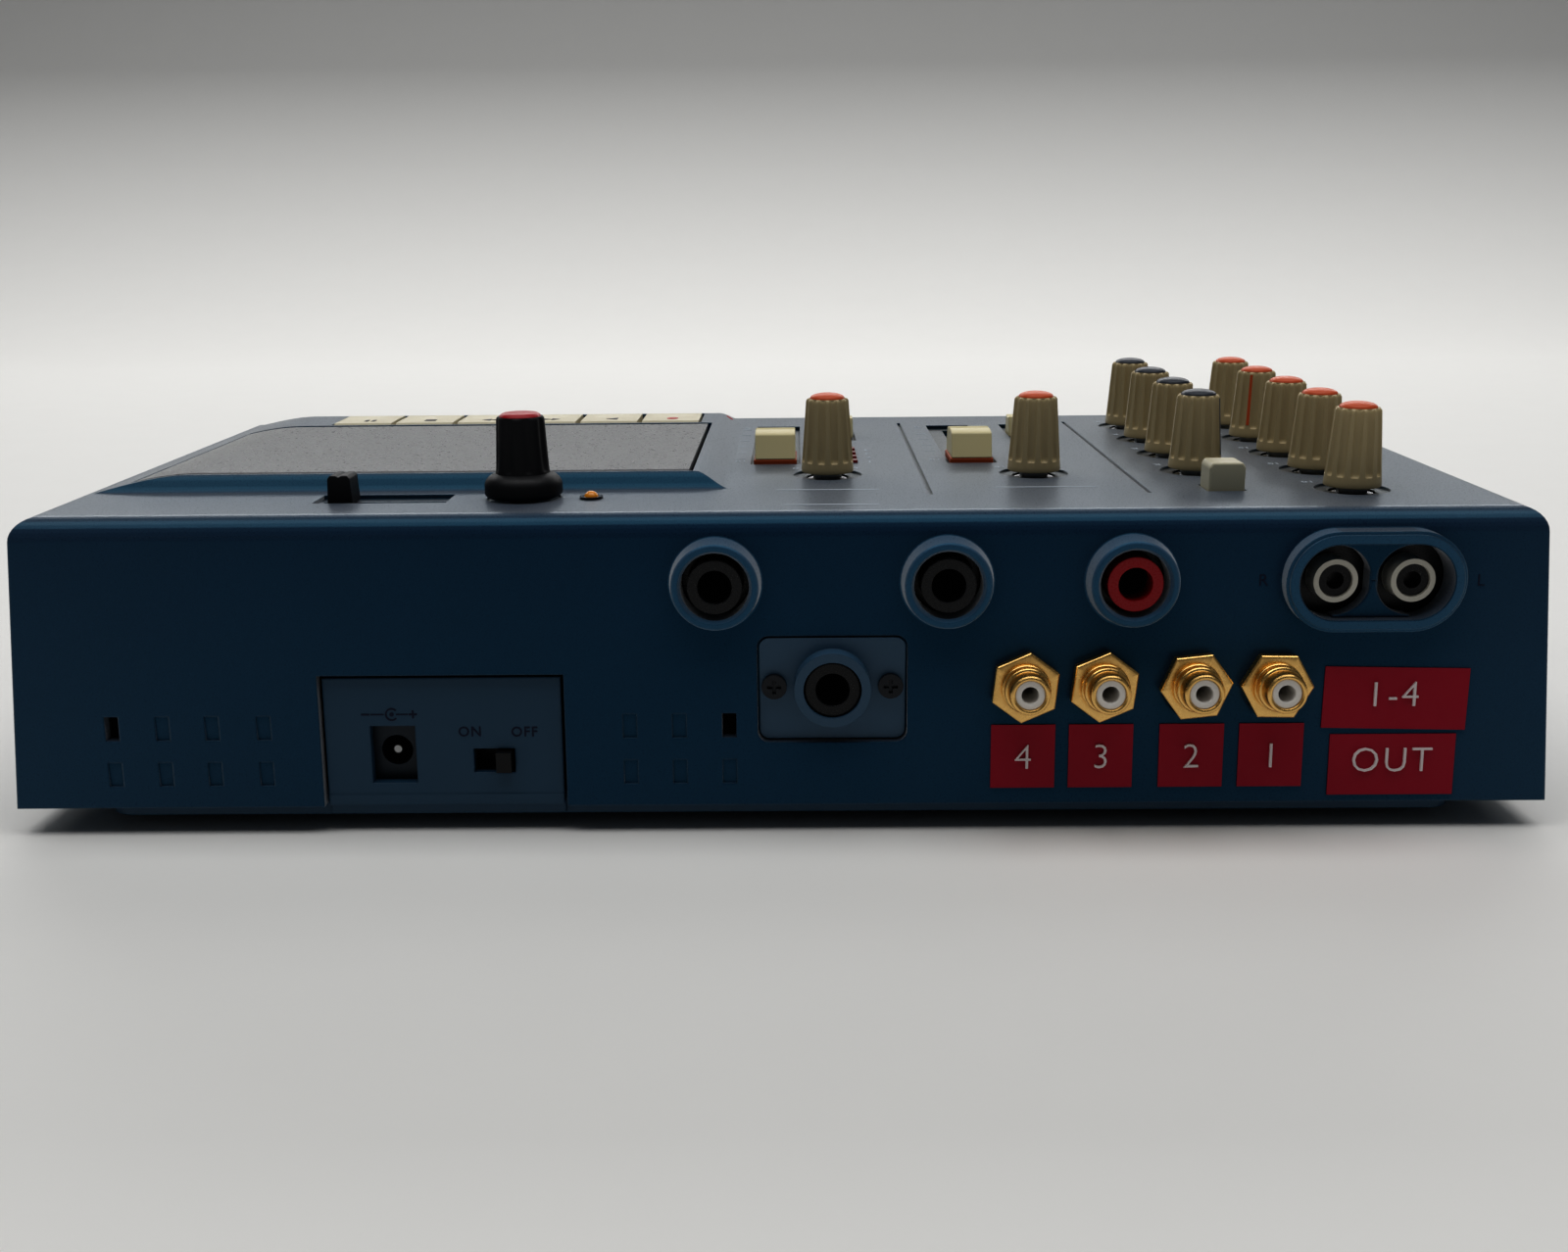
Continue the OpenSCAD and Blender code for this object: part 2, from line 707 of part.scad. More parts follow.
module bottom_case() {
  color([0.2, 0.3, 0.42]) {
    difference() {
      union() {
        round_plate(-plate_half, plate_half, front_y + plate_in, back_y - plate_in,
          skirt_z, plate_top, corner_r);
        round_plate(-tray_half, tray_half, front_y + tray_in, back_y - tray_in,
          tray_bottom, skirt_z + hair, tray_r);
      }
      round_plate(-tray_half + tray_wall, tray_half - tray_wall,
        front_y + tray_in + tray_wall, back_y - tray_in - tray_wall,
        tray_bottom + floor_t, plate_top + cut, tray_r - tray_wall);
      for (x = boss_xs, y = boss_ys)
        post(x, y, skirt_z - cut, plate_top + cut, case_screw_r + 0.2);
      // room for the power panel to come through
      span(power_x0, power_x1, back_y - plate_in - power_panel_t, back_y,
        plate_top, plate_top + cut);
    }
    power_panel();
    // web that ties the power panel to the floor
    span(power_x0 + power_gap, power_x1 - power_gap, back_y - power_sink - power_panel_t - 4,
      back_y - power_sink - power_panel_t + 1, tray_bottom + 0.4, plate_top);
    span(power_x0 + power_gap, power_x1 - power_gap, back_y - power_sink - power_panel_t - 1,
      back_y - power_sink, skirt_z, plate_top);
    for (x = chassis_post_xs, d = chassis_post_ds)
      post(x, at_d(d), tray_bottom + 1, chassis_z, post_r);
    for (x = board_post_xs, d = board_post_ds)
      post(x, at_d(d), tray_bottom + 1, main_board_z, post_r);
  }
}

module rubber_feet() {
  color([0.06, 0.06, 0.06])
  for (sx = [-1, 1], sy = [-1, 1])
    post(sx * foot_x, middle_y + sy * foot_y, 0, tray_bottom, foot_r);
}

// A pan head screw whose shank points along +Z from the head's seat
module screw(r, head_r, head_h, shank_l) {
  difference() {
    union() {
      translate([0, 0, -head_h]) cylinder(r = head_r, h = head_h, $fn = FINE);
      cylinder(r = r, h = shank_l, $fn = FINE);
    }
    for (a = [0, 90])
      rotate([0, 0, a])
      translate([-head_r * 0.55, -head_r * 0.14, -head_h - cut])
      cube([head_r * 1.1, head_r * 0.28, head_h * 0.6 + cut]);
  }
}

screw_head_r = 2.9;
screw_head_h = 1.6;
plate_head_r = 2.4;
plate_head_h = 1.1;
module case_screws() {
  color([0.05, 0.05, 0.06]) {
    for (x = boss_xs, y = boss_ys)
      translate([x, y, skirt_z])
      screw(case_screw_r - hair, screw_head_r, screw_head_h, plate_top - skirt_z + 10);
    z = panel_z - lower_drop;
    for (s = [-1, 1])
      translate([plate_x + s * plate_screw_x, face_y(z) - plate_pocket + socket_plate_t, z])
      rotate([90, 0, 0])
      screw(plate_screw_r - hair, plate_head_r, plate_head_h, 5);
  }
}
socket_plate_t = 0.9;

// ================= sockets on the back =================

socket_body_w = 13;
socket_body_l = 26;
nose_r = 5.2;
nose_back = 0.7;
module quarter_inch_socket(x, z, rim_y) {
  body_y = face_y(z + socket_body_w / 2) - wall - touch;
  difference() {
    union() {
      span(x - socket_body_w / 2, x + socket_body_w / 2, body_y - socket_body_l, body_y,
        z - socket_body_w / 2, z + socket_body_w / 2 - 0.6);
      bar_y(x, body_y - hair, z, nose_r, rim_y - nose_back - body_y + hair);
    }
    bar_y(x, body_y - socket_body_l + 1.5, z, jack_bore_r, 2 * socket_body_l);
  }
}

module quarter_inch_sockets() {
  color([0.03, 0.03, 0.035]) {
    z = panel_z - jack_drop;
    for (x = jack_x) quarter_inch_socket(x, z, face_y(z) + collar_h);
    lz = panel_z - lower_drop;
    plate_body_y = face_y(lz) - 2 * wall + 0.4 - touch;
    difference() {
      union() {
        span(plate_x - socket_body_w / 2, plate_x + socket_body_w / 2,
          plate_body_y - socket_body_l, plate_body_y, lz - socket_body_w / 2,
          lz + socket_body_w / 2);
        bar_y(plate_x, plate_body_y - hair, lz, nose_r,
          face_y(lz) + plate_ring_h - 0.6 - plate_body_y);
      }
      bar_y(plate_x, plate_body_y - socket_body_l + 1.5, lz, jack_bore_r, 2 * socket_body_l);
    }
  }
}

plate_ring_h = 3;
plate_ring_r = 7.3;
// The lighter plate in its pocket, with a raised ring round the socket
module socket_plate() {
  z = panel_z - lower_drop;
  y0 = face_y(z) - plate_pocket;
  color([0.22, 0.33, 0.45])
  difference() {
    union() {
      translate([0, y0 + socket_plate_t, 0])
        rotate([90, 0, 0])
        round_plate(plate_x - plate_w / 2 + 0.4, plate_x + plate_w / 2 - 0.4,
          z - plate_h / 2 - 0.2, z + plate_h / 2 - 1, 0, socket_plate_t, plate_r - 0.4);
      bar_y(plate_x, y0, z, plate_ring_r, plate_pocket + plate_ring_h);
    }
    bar_y(plate_x, y0 - cut, z, nose_r + touch, plate_pocket + plate_ring_h + 2 * cut);
    for (s = [-1, 1])
      bar_y(plate_x + s * plate_screw_x, y0 - cut, z, plate_screw_r + 0.1, 3 * wall);
  }
}

// Plug end of a phono socket that starts at y and grows to the back
phono_bore_r = 1.6;
phono_wall = 1.35;
module phono_shell(x, y, z, l) {
  difference() {
    bar_y(x, y, z, phono_r, l);
    bar_y(x, y - cut, z, phono_r - 1, l + 2 * cut);
  }
}
module phono_core(x, y, z, l, sink) {
  difference() {
    bar_y(x, y, z, phono_r - 1 - hair, l - sink);
    bar_y(x, y + 1.5, z, phono_bore_r, l);
  }
}

line_body_l = 9;
module line_out_sockets() {
  z = panel_z - jack_drop;
  y0 = face_y(z + 7.5) - wall - touch;
  tip = face_y(z) + 1.6;
  color([0.03, 0.03, 0.035])
    span(line_x - 15, line_x + 15, y0 - line_body_l, y0, z - 8, z + 7.5);
  for (s = [-1, 1]) {
    color([0.75, 0.75, 0.77])
      phono_shell(line_x + s * line_half, y0, z, tip - y0);
    color([0.03, 0.03, 0.035])
      phono_core(line_x + s * line_half, y0, z, tip - y0, 0.5);
  }
}

washer_t = 0.8;
nut_t = 2.2;
module gold_sockets() {
  z = panel_z - lower_drop;
  y = face_y(z);
  color([0.85, 0.62, 0.25])
  for (i = [0:len(gold_x) - 1]) {
    x = gold_x[i];
    difference() {
      union() {
        bar_y(x, y - wall - 6, z, gold_thread_r, wall + 6 + washer_t + nut_t + 1.4);
        bar_y(x, face_y(z + nut_af / 2) - wall - touch - 2, z, nut_af / 2, 2);
        bar_y(x, y + hair, z, nut_af / 2 + 0.2, washer_t);
        translate([x, y + washer_t + hair, z])
          rotate([-90, nut_turn[i], 0])
          cylinder(r = nut_af / 2 / cos(30), h = nut_t, $fn = 6);
        bar_y(x, y + washer_t + nut_t, z, phono_r + 0.5, 1.6);
        bar_y(x, y + washer_t + nut_t, z, phono_r, gold_reach - washer_t - nut_t);
      }
      bar_y(x, y - wall - 6 + 1.5, z, phono_r - phono_wall, gold_reach + 20);
    }
  }
}

module socket_insulators() {
  z = panel_z - lower_drop;
  y = face_y(z) - wall - 4.4;
  l = face_y(z) + gold_reach - 0.5 - y;
  color([0.92, 0.9, 0.86])
  for (x = gold_x)
    difference() {
      bar_y(x, y, z, phono_r - phono_wall - hair, l);
      bar_y(x, y + 3, z, phono_bore_r, l);
    }
}

// A label that follows the lean of the back face
label_t = 0.25;
module back_label(x, z, w, h, turn) {
  translate([x, face_y(z), z])
    rotate([lean, 0, 0])
    rotate([0, turn, 0])
    translate([-w / 2, hair, -h / 2])
    cube([w, label_t, h]);
}

label_w = 12.3;
label_drop = 47;
module stuck_labels() {
  color([0.62, 0.06, 0.1]) {
    for (x = gold_x) back_label(x, panel_z - label_drop, label_w, label_w + 0.2, 0);
    back_label(-117.9, panel_z - 36, 27.4, label_w - 0.3, -1.2);
    back_label(-117.9, panel_z - 49, 24, label_w - 0.3, 0);
  }
}

dc_body_w = 11;
dc_body_h = 12.4;
dc_body_l = 12;
dc_bore_r = 3;
dc_pin_r = 1;
module power_socket() {
  z = panel_z - dc_drop;
  y = face_y(z + dc_body_h / 2) - power_sink - power_panel_t - touch;
  color([0.04, 0.04, 0.045])
  difference() {
    span(dc_x - dc_body_w / 2, dc_x + dc_body_w / 2, y - dc_body_l, y, plate_top, z + dc_body_h / 2);
    bar_y(dc_x, y - 9, z, dc_bore_r, 20);
  }
  color([0.8, 0.8, 0.82])
    bar_y(dc_x, y - 9 - hair, z, dc_pin_r, 8.6);
}

// ================= boards and controls under the panel =================

module circuit_boards() {
  color([0.07, 0.2, 0.12]) {
    difference() {
      span(-side_x + 22, -chassis_x0 + 26, at_d(step_d - 6), at_d(30),
        control_board_z, control_board_z + board_t);
      for (x = fader_x)
        span(x - 1.5, x + 1.5, at_d(fader_d + fader_slot_l), at_d(fader_d),
          control_board_z - cut, control_board_z + board_t + cut);
    }
    difference() {
      span(-side_x + 20, side_x - 20, at_d(188), at_d(26), main_board_z, main_board_z + board_t);
      for (x = chassis_post_xs, d = chassis_post_ds)
        post(x, at_d(d), main_board_z - cut, main_board_z + board_t + cut, post_r + touch);
    }
  }
  // pillars between the two boards
  color([0.75, 0.75, 0.78])
  for (x = [-side_x + 26, -chassis_x0 + 21], d = [34, step_d - 10])
    post(x, at_d(d), main_board_z + board_t, control_board_z, 2.5);
}

module pot_body() {
  difference() {
    union() {
      span(-pot_w / 2, pot_w / 2, -pot_w / 2, pot_w / 2, pot_bottom, pot_top);
      post(0, 0, pot_top - hair, bush_top, bush_r);
    }
    post(0, 0, pot_bottom + 1, bush_top + cut, shaft_r + hair);
  }
}

module knob_potentiometers() {
  color([0.55, 0.56, 0.58]) at_all_knobs() pot_body();
}

track_body_t = 6;
module slide_body(x0, x1, y0, y1, slot_x0, slot_x1, slot_y0, slot_y1, t) {
  difference() {
    span(x0, x1, y0, y1, under_z - touch - t, under_z - touch);
    span(slot_x0, slot_x1, slot_y0, slot_y1, under_z - touch - t + 1.2, under_z);
  }
}

fader_body_w = 9;
module fader_tracks() {
  color([0.3, 0.3, 0.32])
  for (x = fader_x)
    slide_body(x - fader_body_w / 2, x + fader_body_w / 2,
      at_d(fader_d + fader_slot_l + 1), at_d(fader_d - 1),
      x - fader_stem_w / 2 - 0.4, x + fader_stem_w / 2 + 0.4,
      at_d(fader_d + fader_slot_l - 2), at_d(fader_d + 2), track_body_t);
}

power_body_l = 7;
module switch_bodies() {
  color([0.35, 0.35, 0.37]) {
    for (x = track_x)
      slide_body(x - 3, x + 3, at_d(track_d + track_slot_l), at_d(track_d),
        x - track_stem_w / 2 - 0.4, x + track_stem_w / 2 + 0.4,
        at_d(track_d + track_slot_l - 1.2), at_d(track_d + 1.2), track_body_t);
    slide_body(pitch_x - pitch_slot_l / 2, pitch_x + pitch_slot_l / 2,
      at_d(pitch_d) - 3.5, at_d(pitch_d) + 3.5,
      pitch_x - pitch_slot_l / 2 + 1, pitch_x + pitch_slot_l / 2 - 1,
      at_d(pitch_d) - pitch_stem_w / 2 - 0.4, at_d(pitch_d) + pitch_stem_w / 2 + 0.4,
      track_body_t);
    // body of the mono button's switch
    difference() {
      span(mono_x - 5, mono_x + 5, at_d(mono_d) - 5, at_d(mono_d) + 5,
        under_z - 9, under_z - touch);
      span(mono_x - mono_w / 2 - touch, mono_x + mono_w / 2 + touch,
        at_d(mono_d + mono_w / 2) - touch, at_d(mono_d - mono_w / 2) + touch,
        under_z - 8, under_z);
    }
    // body of the power switch
    sz = panel_z - switch_drop;
    y = face_y(sz + 4) - power_sink - power_panel_t - touch;
    difference() {
      span(switch_x - 8, switch_x + 8, y - power_body_l, y, sz - 4, sz + 4);
      span(switch_x - switch_open_w / 2, switch_x + switch_open_w / 2, y - 4, y + cut,
        sz - switch_open_h / 2, sz + switch_open_h / 2);
    }
    // foot of the power switch on the floor
    span(switch_x - 8, switch_x + 8, y - power_body_l, y - 2, plate_top, sz - 4);
  }
}

module indicator_lamps() {
  color([0.05, 0.05, 0.05])
  difference() {
    post(power_lamp_x, at_d(power_lamp_d), under_z - 2, panel_z + 0.5, lamp_bezel_r);
    post(power_lamp_x, at_d(power_lamp_d), under_z - 3, panel_z + cut, lamp_r + hair);
  }
  color([0.85, 0.5, 0.12])
  translate([power_lamp_x, at_d(power_lamp_d), 0]) {
    post(0, 0, under_z - 4, panel_z, lamp_r);
    intersection() {
      translate([0, 0, panel_z]) sphere(r = lamp_r, $fn = FINE);
      post(0, 0, panel_z - hair, panel_z + lamp_r, lamp_r);
    }
  }
  color([0.6, 0.05, 0.05])
  for (i = [0:track_count - 1])
    span(track_lamp_x - track_lamp_w / 2, track_lamp_x + track_lamp_w / 2,
      at_d(track_lamp_d + i * track_lamp_pitch + track_lamp_l),
      at_d(track_lamp_d + i * track_lamp_pitch), under_z - 3, panel_z + 0.6);
}

// ================= knobs =================

groove_r = 0.75;
groove_out = 0.32;
// Fluted shell of a mixer knob with its coloured cap and its shaft
module mixer_knob(x, d, cap_color) {
  slope = atan((knob_r - knob_top_r) / knob_h);
  translate([x, at_d(d), 0]) {
    color([0.72, 0.66, 0.52])
    difference() {
      union() {
        translate([0, 0, knob_bottom])
          cylinder(r1 = knob_r, r2 = knob_top_r, h = knob_h - 0.5, $fn = FINE);
        translate([0, 0, knob_bottom + knob_h - 0.5])
          cylinder(r1 = knob_top_r, r2 = knob_top_r - 0.45, h = 0.5, $fn = FINE);
      }
      for (i = [0:knob_flutes - 1])
        rotate([0, 0, (i + 0.5) * 360 / knob_flutes])
        translate([knob_r + groove_out, 0, knob_bottom])
        rotate([0, -slope, 0])
        translate([0, 0, knob_band])
        cylinder(r = groove_r, h = 2 * knob_h, $fn = ROUND);
      post(0, 0, knob_bottom - cut, knob_bottom + knob_h - 3, shaft_r + hair);
      post(0, 0, knob_bottom + knob_h - 2, knob_bottom + knob_h + cut, cap_r + hair);
    }
    color(cap_color) {
      cap_z = knob_bottom + knob_h - 2 + hair;
      dome_r = (cap_r * cap_r + cap_dome * cap_dome) / (2 * cap_dome);
      post(0, 0, cap_z, knob_bottom + knob_h, cap_r);
      intersection() {
        translate([0, 0, knob_bottom + knob_h + cap_dome - dome_r])
          sphere(r = dome_r, $fn = 2 * FINE);
        post(0, 0, knob_bottom + knob_h - hair, knob_bottom + knob_h + 2 * cap_dome, cap_r);
      }
    }
    color([0.7, 0.7, 0.72])
      post(0, 0, pot_bottom + 1 + hair, knob_bottom + knob_h - 3 - hair, shaft_r);
  }
}

orange_cap = [0.85, 0.33, 0.16];
grey_cap = [0.2, 0.21, 0.24];
module phones_level_knob() { mixer_knob(knob_col_x[0], knob_row_d(0), orange_cap); }
module cue_level_knob_1() { mixer_knob(knob_col_x[0], knob_row_d(1), orange_cap); }
module cue_level_knob_2() { mixer_knob(knob_col_x[0], knob_row_d(2), orange_cap); }
module cue_level_knob_3() { mixer_knob(knob_col_x[0], knob_row_d(3), orange_cap); }
module cue_level_knob_4() { mixer_knob(knob_col_x[0], knob_row_d(4), orange_cap); }
module cue_pan_knob_1() { mixer_knob(knob_col_x[1], knob_row_d(1), grey_cap); }
module cue_pan_knob_2() { mixer_knob(knob_col_x[1], knob_row_d(2), grey_cap); }
module cue_pan_knob_3() { mixer_knob(knob_col_x[1], knob_row_d(3), grey_cap); }
module cue_pan_knob_4() { mixer_knob(knob_col_x[1], knob_row_d(4), grey_cap); }
module trim_knob_1() { mixer_knob(trim_x[0], trim_d, orange_cap); }
module trim_knob_2() { mixer_knob(trim_x[1], trim_d, orange_cap); }

line_skirt_h = 4.6;
line_knob_top = 15.8;
line_barrel_r = 5.5;
line_barrel_top_r = 4.7;
line_flutes = 8;
line_cap_r = 4.1;
// Black soft knob with a rounded skirt and a red cap
module line_level_knob() {
  z0 = knob_bottom - 0.3;
  at_line_knob() {
    color([0.04, 0.04, 0.045])
    difference() {
      union() {
        translate([0, 0, z0])
          rotate_extrude($fn = 2 * FINE)
          polygon(concat([[0, 0], [line_knob_r - 0.5, 0]],
            arc([line_knob_r - 0.9, 0.9], 0.9, -60, 0, 4),
            arc([line_knob_r - 2.6, 2], 2.6, 0, 75, 6),
            [[line_barrel_r, line_skirt_h], [0, line_skirt_h]]));
        translate([0, 0, z0 + line_skirt_h - hair])
          cylinder(r1 = line_barrel_r - 0.2, r2 = line_barrel_top_r,
            h = line_knob_top - line_skirt_h, $fn = FINE);
      }
      for (i = [0:line_flutes - 1])
        rotate([0, 0, (i + 0.5) * 360 / line_flutes])
        translate([line_barrel_r + 0.9, 0, z0 + line_skirt_h + touch])
        rotate([0, -3.6, 0])
        cylinder(r = 1.3, h = line_knob_top, $fn = ROUND);
      post(0, 0, z0 - cut, z0 + line_knob_top - 3.4, shaft_r + hair);
      post(0, 0, z0 + line_knob_top - 2, z0 + line_knob_top + cut, line_cap_r + hair);
    }
    color([0.7, 0.08, 0.12])
      translate([0, 0, z0 + line_knob_top - 2 + hair]) {
        cylinder(r = line_cap_r, h = 2, $fn = FINE);
        translate([0, 0, 2])
          cylinder(r1 = line_cap_r, r2 = line_cap_r - 0.7, h = 0.7, $fn = FINE);
      }
    color([0.7, 0.7, 0.72])
      post(0, 0, pot_bottom + 1 + hair, z0 + line_knob_top - 3.4 - hair, shaft_r);
  }
}

// ================= sliders and buttons =================

fader_cap_w = 9;
fader_lift = 0.35;
stem_foot = under_z - touch - track_body_t + 1.2 + 0.3;
// Cream fader cap: low at the front and back, with a ridge across its top
module fader_cap(x) {
  y1 = at_d(fader_d) - 0.6;
  z0 = panel_z - fader_sink + fader_lift;
  h = fader_cap_h + fader_sink - fader_lift;
  lip = 1.6;
  color([0.72, 0.3, 0.14])
    span(x - fader_cap_w / 2 - 0.3, x + fader_cap_w / 2 + 0.3, y1 - fader_cap_l, y1, z0, z0 + lip);
  color([0.85, 0.8, 0.62])
  translate([x - fader_cap_w / 2, y1, z0 + lip - hair])
    rotate([90, 0, 90])
    linear_extrude(fader_cap_w)
    polygon([
      [0, 0], [-1.6, h - lip - 0.7], [-2.3, h - lip - 0.4],
      [-fader_cap_l / 2 + 1.2, h - lip], [-fader_cap_l / 2 + 0.4, h - lip - 0.7],
      [-fader_cap_l / 2 - 0.4, h - lip - 0.7], [-fader_cap_l / 2 - 1.2, h - lip],
      [-fader_cap_l + 2.3, h - lip - 0.4], [-fader_cap_l + 1.6, h - lip - 0.7],
      [-fader_cap_l, 0]
    ]);
  color([0.6, 0.6, 0.62])
    span(x - fader_stem_w / 2, x + fader_stem_w / 2, y1 - fader_cap_l / 2 - 2.5,
      y1 - fader_cap_l / 2 + 2.5, stem_foot, z0 + hair);
}
module input_fader_1() { fader_cap(fader_x[0]); }
module input_fader_2() { fader_cap(fader_x[1]); }

track_cap_w = 5;
track_cap_h = 5;
module track_switch(x) {
  y1 = at_d(track_d + 8.5);
  z0 = panel_z - fader_sink + fader_lift;
  color([0.82, 0.78, 0.64])
    translate([x - track_cap_w / 2, y1, z0])
    rotate([90, 0, 90])
    linear_extrude(track_cap_w)
    polygon([[0, 0], [-1, track_cap_h], [-track_cap_l + 1, track_cap_h], [-track_cap_l, 0]]);
  color([0.6, 0.6, 0.62])
    span(x - track_stem_w / 2, x + track_stem_w / 2, y1 - track_cap_l / 2 - 1.5,
      y1 - track_cap_l / 2 + 1.5, stem_foot, z0 + hair);
}
module track_switch_1() { track_switch(track_x[0]); }
module track_switch_2() { track_switch(track_x[1]); }

pitch_cap_w = 5;
pitch_cap_l = 6;
pitch_cap_h = 5.2;
pitch_home = 8;
module pitch_slider() {
  x = pitch_x + pitch_home;
  z0 = panel_z - pitch_sink + 0.3;
  color([0.05, 0.05, 0.055]) {
    translate([x, at_d(pitch_d), 0])
      rotate([90, 0, 0])
      linear_extrude(pitch_cap_l, center = true)
      polygon([[-pitch_cap_w / 2, z0], [pitch_cap_w / 2, z0],
        [pitch_cap_w / 2 - 0.3, panel_z + pitch_cap_h - 0.5],
        [pitch_cap_w / 2 - 0.8, panel_z + pitch_cap_h],
        [-pitch_cap_w / 2 + 0.8, panel_z + pitch_cap_h],
        [-pitch_cap_w / 2 + 0.3, panel_z + pitch_cap_h - 0.5]]);
    span(x - 1.5, x + 1.5, at_d(pitch_d) - pitch_stem_w / 2, at_d(pitch_d) + pitch_stem_w / 2,
      stem_foot, z0 + hair);
  }
}

mono_up = 5.6;
mono_edge = 0.7;
// Square push button: a block whose top edges are bevelled
module mono_button() {
  color([0.7, 0.67, 0.57])
  translate([mono_x, at_d(mono_d), 0])
  intersection() {
    rotate([90, 0, 0])
      linear_extrude(2 * mono_w, center = true)
      polygon(bevel_outline());
    rotate([90, 0, 90])
      linear_extrude(2 * mono_w, center = true)
      polygon(bevel_outline());
  }
}
function bevel_outline() = [
  [-mono_w / 2, under_z - 5], [mono_w / 2, under_z - 5],
  [mono_w / 2, panel_z + mono_up - mono_edge], [mono_w / 2 - mono_edge * 0.3, panel_z + mono_up - mono_edge * 0.3],
  [mono_w / 2 - mono_edge, panel_z + mono_up], [-mono_w / 2 + mono_edge, panel_z + mono_up],
  [-mono_w / 2 + mono_edge * 0.3, panel_z + mono_up - mono_edge * 0.3], [-mono_w / 2, panel_z + mono_up - mono_edge]
];

power_lever_w = 3;
power_travel = 4;
module power_switch() {
  z = panel_z - switch_drop;
  y = face_y(z) - power_sink - power_panel_t - touch;
  x = switch_x - power_travel / 2;
  color([0.05, 0.05, 0.055]) {
    span(x - power_lever_w / 2, x + power_lever_w / 2, y - 3.6, face_y(z) + 0.6, z - 2, z + 2);
  }
}

// ================= transport keys =================

module transport_key(i) {
  x0 = key_x0 + i * key_pitch;
  y1 = at_d(key_d);
  color([0.85, 0.81, 0.66]) {
    // cap, with a shallow finger hollow and a bevelled edge
    difference() {
      translate([x0, 0, 0])
        rotate([90, 0, 90])
        linear_extrude(key_w)
        polygon([
          [y1, key_top - key_cap_h], [y1, key_top - 0.6], [y1 - 0.6, key_top],
          [y1 - key_l + 0.8, key_top], [y1 - key_l, key_top - 0.8],
          [y1 - key_l, key_top - key_cap_h]
        ]);
      translate([x0 + key_w / 2, y1 - key_l / 2, key_top + 38.4])
        sphere(r = 38.8, $fn = 2 * FINE);
    }
    span(x0 + key_w / 2 - stem_w / 2, x0 + key_w / 2 + stem_w / 2,
      at_d(key_mid_d) - stem_l / 2, at_d(key_mid_d) + stem_l / 2,
      stem_bottom, key_top - key_cap_h + hair);
  }
}
module record_key() { transport_key(0); }
module play_key() { transport_key(1); }
module rewind_key() { transport_key(2); }
module forward_key() { transport_key(3); }
module stop_key() { transport_key(4); }
module pause_key() { transport_key(5); }

// ================= cassette lid =================

window_t = 1.2;
// Outline across the width of the lid's top, which falls away with the deck
function lid_top(z_off) = concat(
  [[lid_x0, deck_z - z_off]],
  [for (i = [0:ramp_steps])
    let (x = deck_fall_x0 + i / ramp_steps * (lid_x1 - deck_fall_x0))
    [x, deck_z - z_off - deck_fall((x - deck_fall_x0) / (deck_fall_x1 - deck_fall_x0))]]);

// Smooth smoked cover plate of the lid
module lid_window() {
  top = lid_top(0);
  low = lid_top(window_t);
  color([0.2, 0.21, 0.22])
  difference() {
    translate([0, at_d(lid_d0), 0])
      rotate([90, 0, 0])
      linear_extrude(lid_d1 - lid_d0)
      polygon(concat(top, [for (i = [len(low) - 1:-1:0]) low[i]]));
    // bevel that lets the back edge turn under the case
    translate([0, at_d(lid_d0), deck_z])
      rotate([45, 0, 0])
      cube([3 * case_w, lid_bevel * sqrt(2), lid_bevel * sqrt(2)], center = true);
  }
}

lid_bevel = 0.5;
guide_t = 1.2;
guide_h = 9;
lid_open_w = 84;
lid_open_l = 42;
// Frame under the cover plate, with the guides that hold a cassette
module cassette_lid() {
  low = lid_top(window_t + hair);
  frame_z = deck_z - lid_t;
  color([0.1, 0.1, 0.11])
  difference() {
    union() {
      translate([0, at_d(lid_d0 + 0.4), 0])
        rotate([90, 0, 0])
        linear_extrude(lid_d1 - lid_d0 - 0.8)
        polygon(concat([[lid_x0 + 0.4, frame_z]],
          [for (p = low) [max(p[0], lid_x0 + 0.4) - (p[0] > lid_x1 - 0.1 ? 0.4 : 0), p[1]]],
          [[lid_x1 - 0.4, frame_z]]));
      for (s = [-1, 1])
        span(cassette_x + s * (cassette_w / 2 + touch + guide_t / 2) - guide_t / 2,
          cassette_x + s * (cassette_w / 2 + touch + guide_t / 2) + guide_t / 2,
          at_d(cassette_d - 10), at_d(cassette_d - cassette_l + 6),
          frame_z - guide_h, frame_z + hair);
    }
    span(lid_mid_x - lid_open_w / 2, lid_mid_x + lid_open_w / 2,
      at_d((lid_d0 + lid_d1) / 2) - lid_open_l / 2, at_d((lid_d0 + lid_d1) / 2) + lid_open_l / 2,
      frame_z - cut, deck_z - window_t - hair - 0.4);
    // room for the two hinge lugs
    for (x = hinge_xs)
      span(x - touch, x + hinge_lug_w + touch, hinge_y - hinge_lug_r - touch, at_d(lid_d0) + cut,
        frame_z - cut, deck_z - window_t);
  }
  // hinge pins across those gaps
  color([0.1, 0.1, 0.11])
  for (x = hinge_xs)
    translate([x - touch - hair, hinge_y, hinge_z])
    rotate([0, 90, 0])
    cylinder(r = hinge_pin_r, h = hinge_lug_w + 2 * (touch + hair), $fn = FINE);
}

// ================= deck mechanism =================

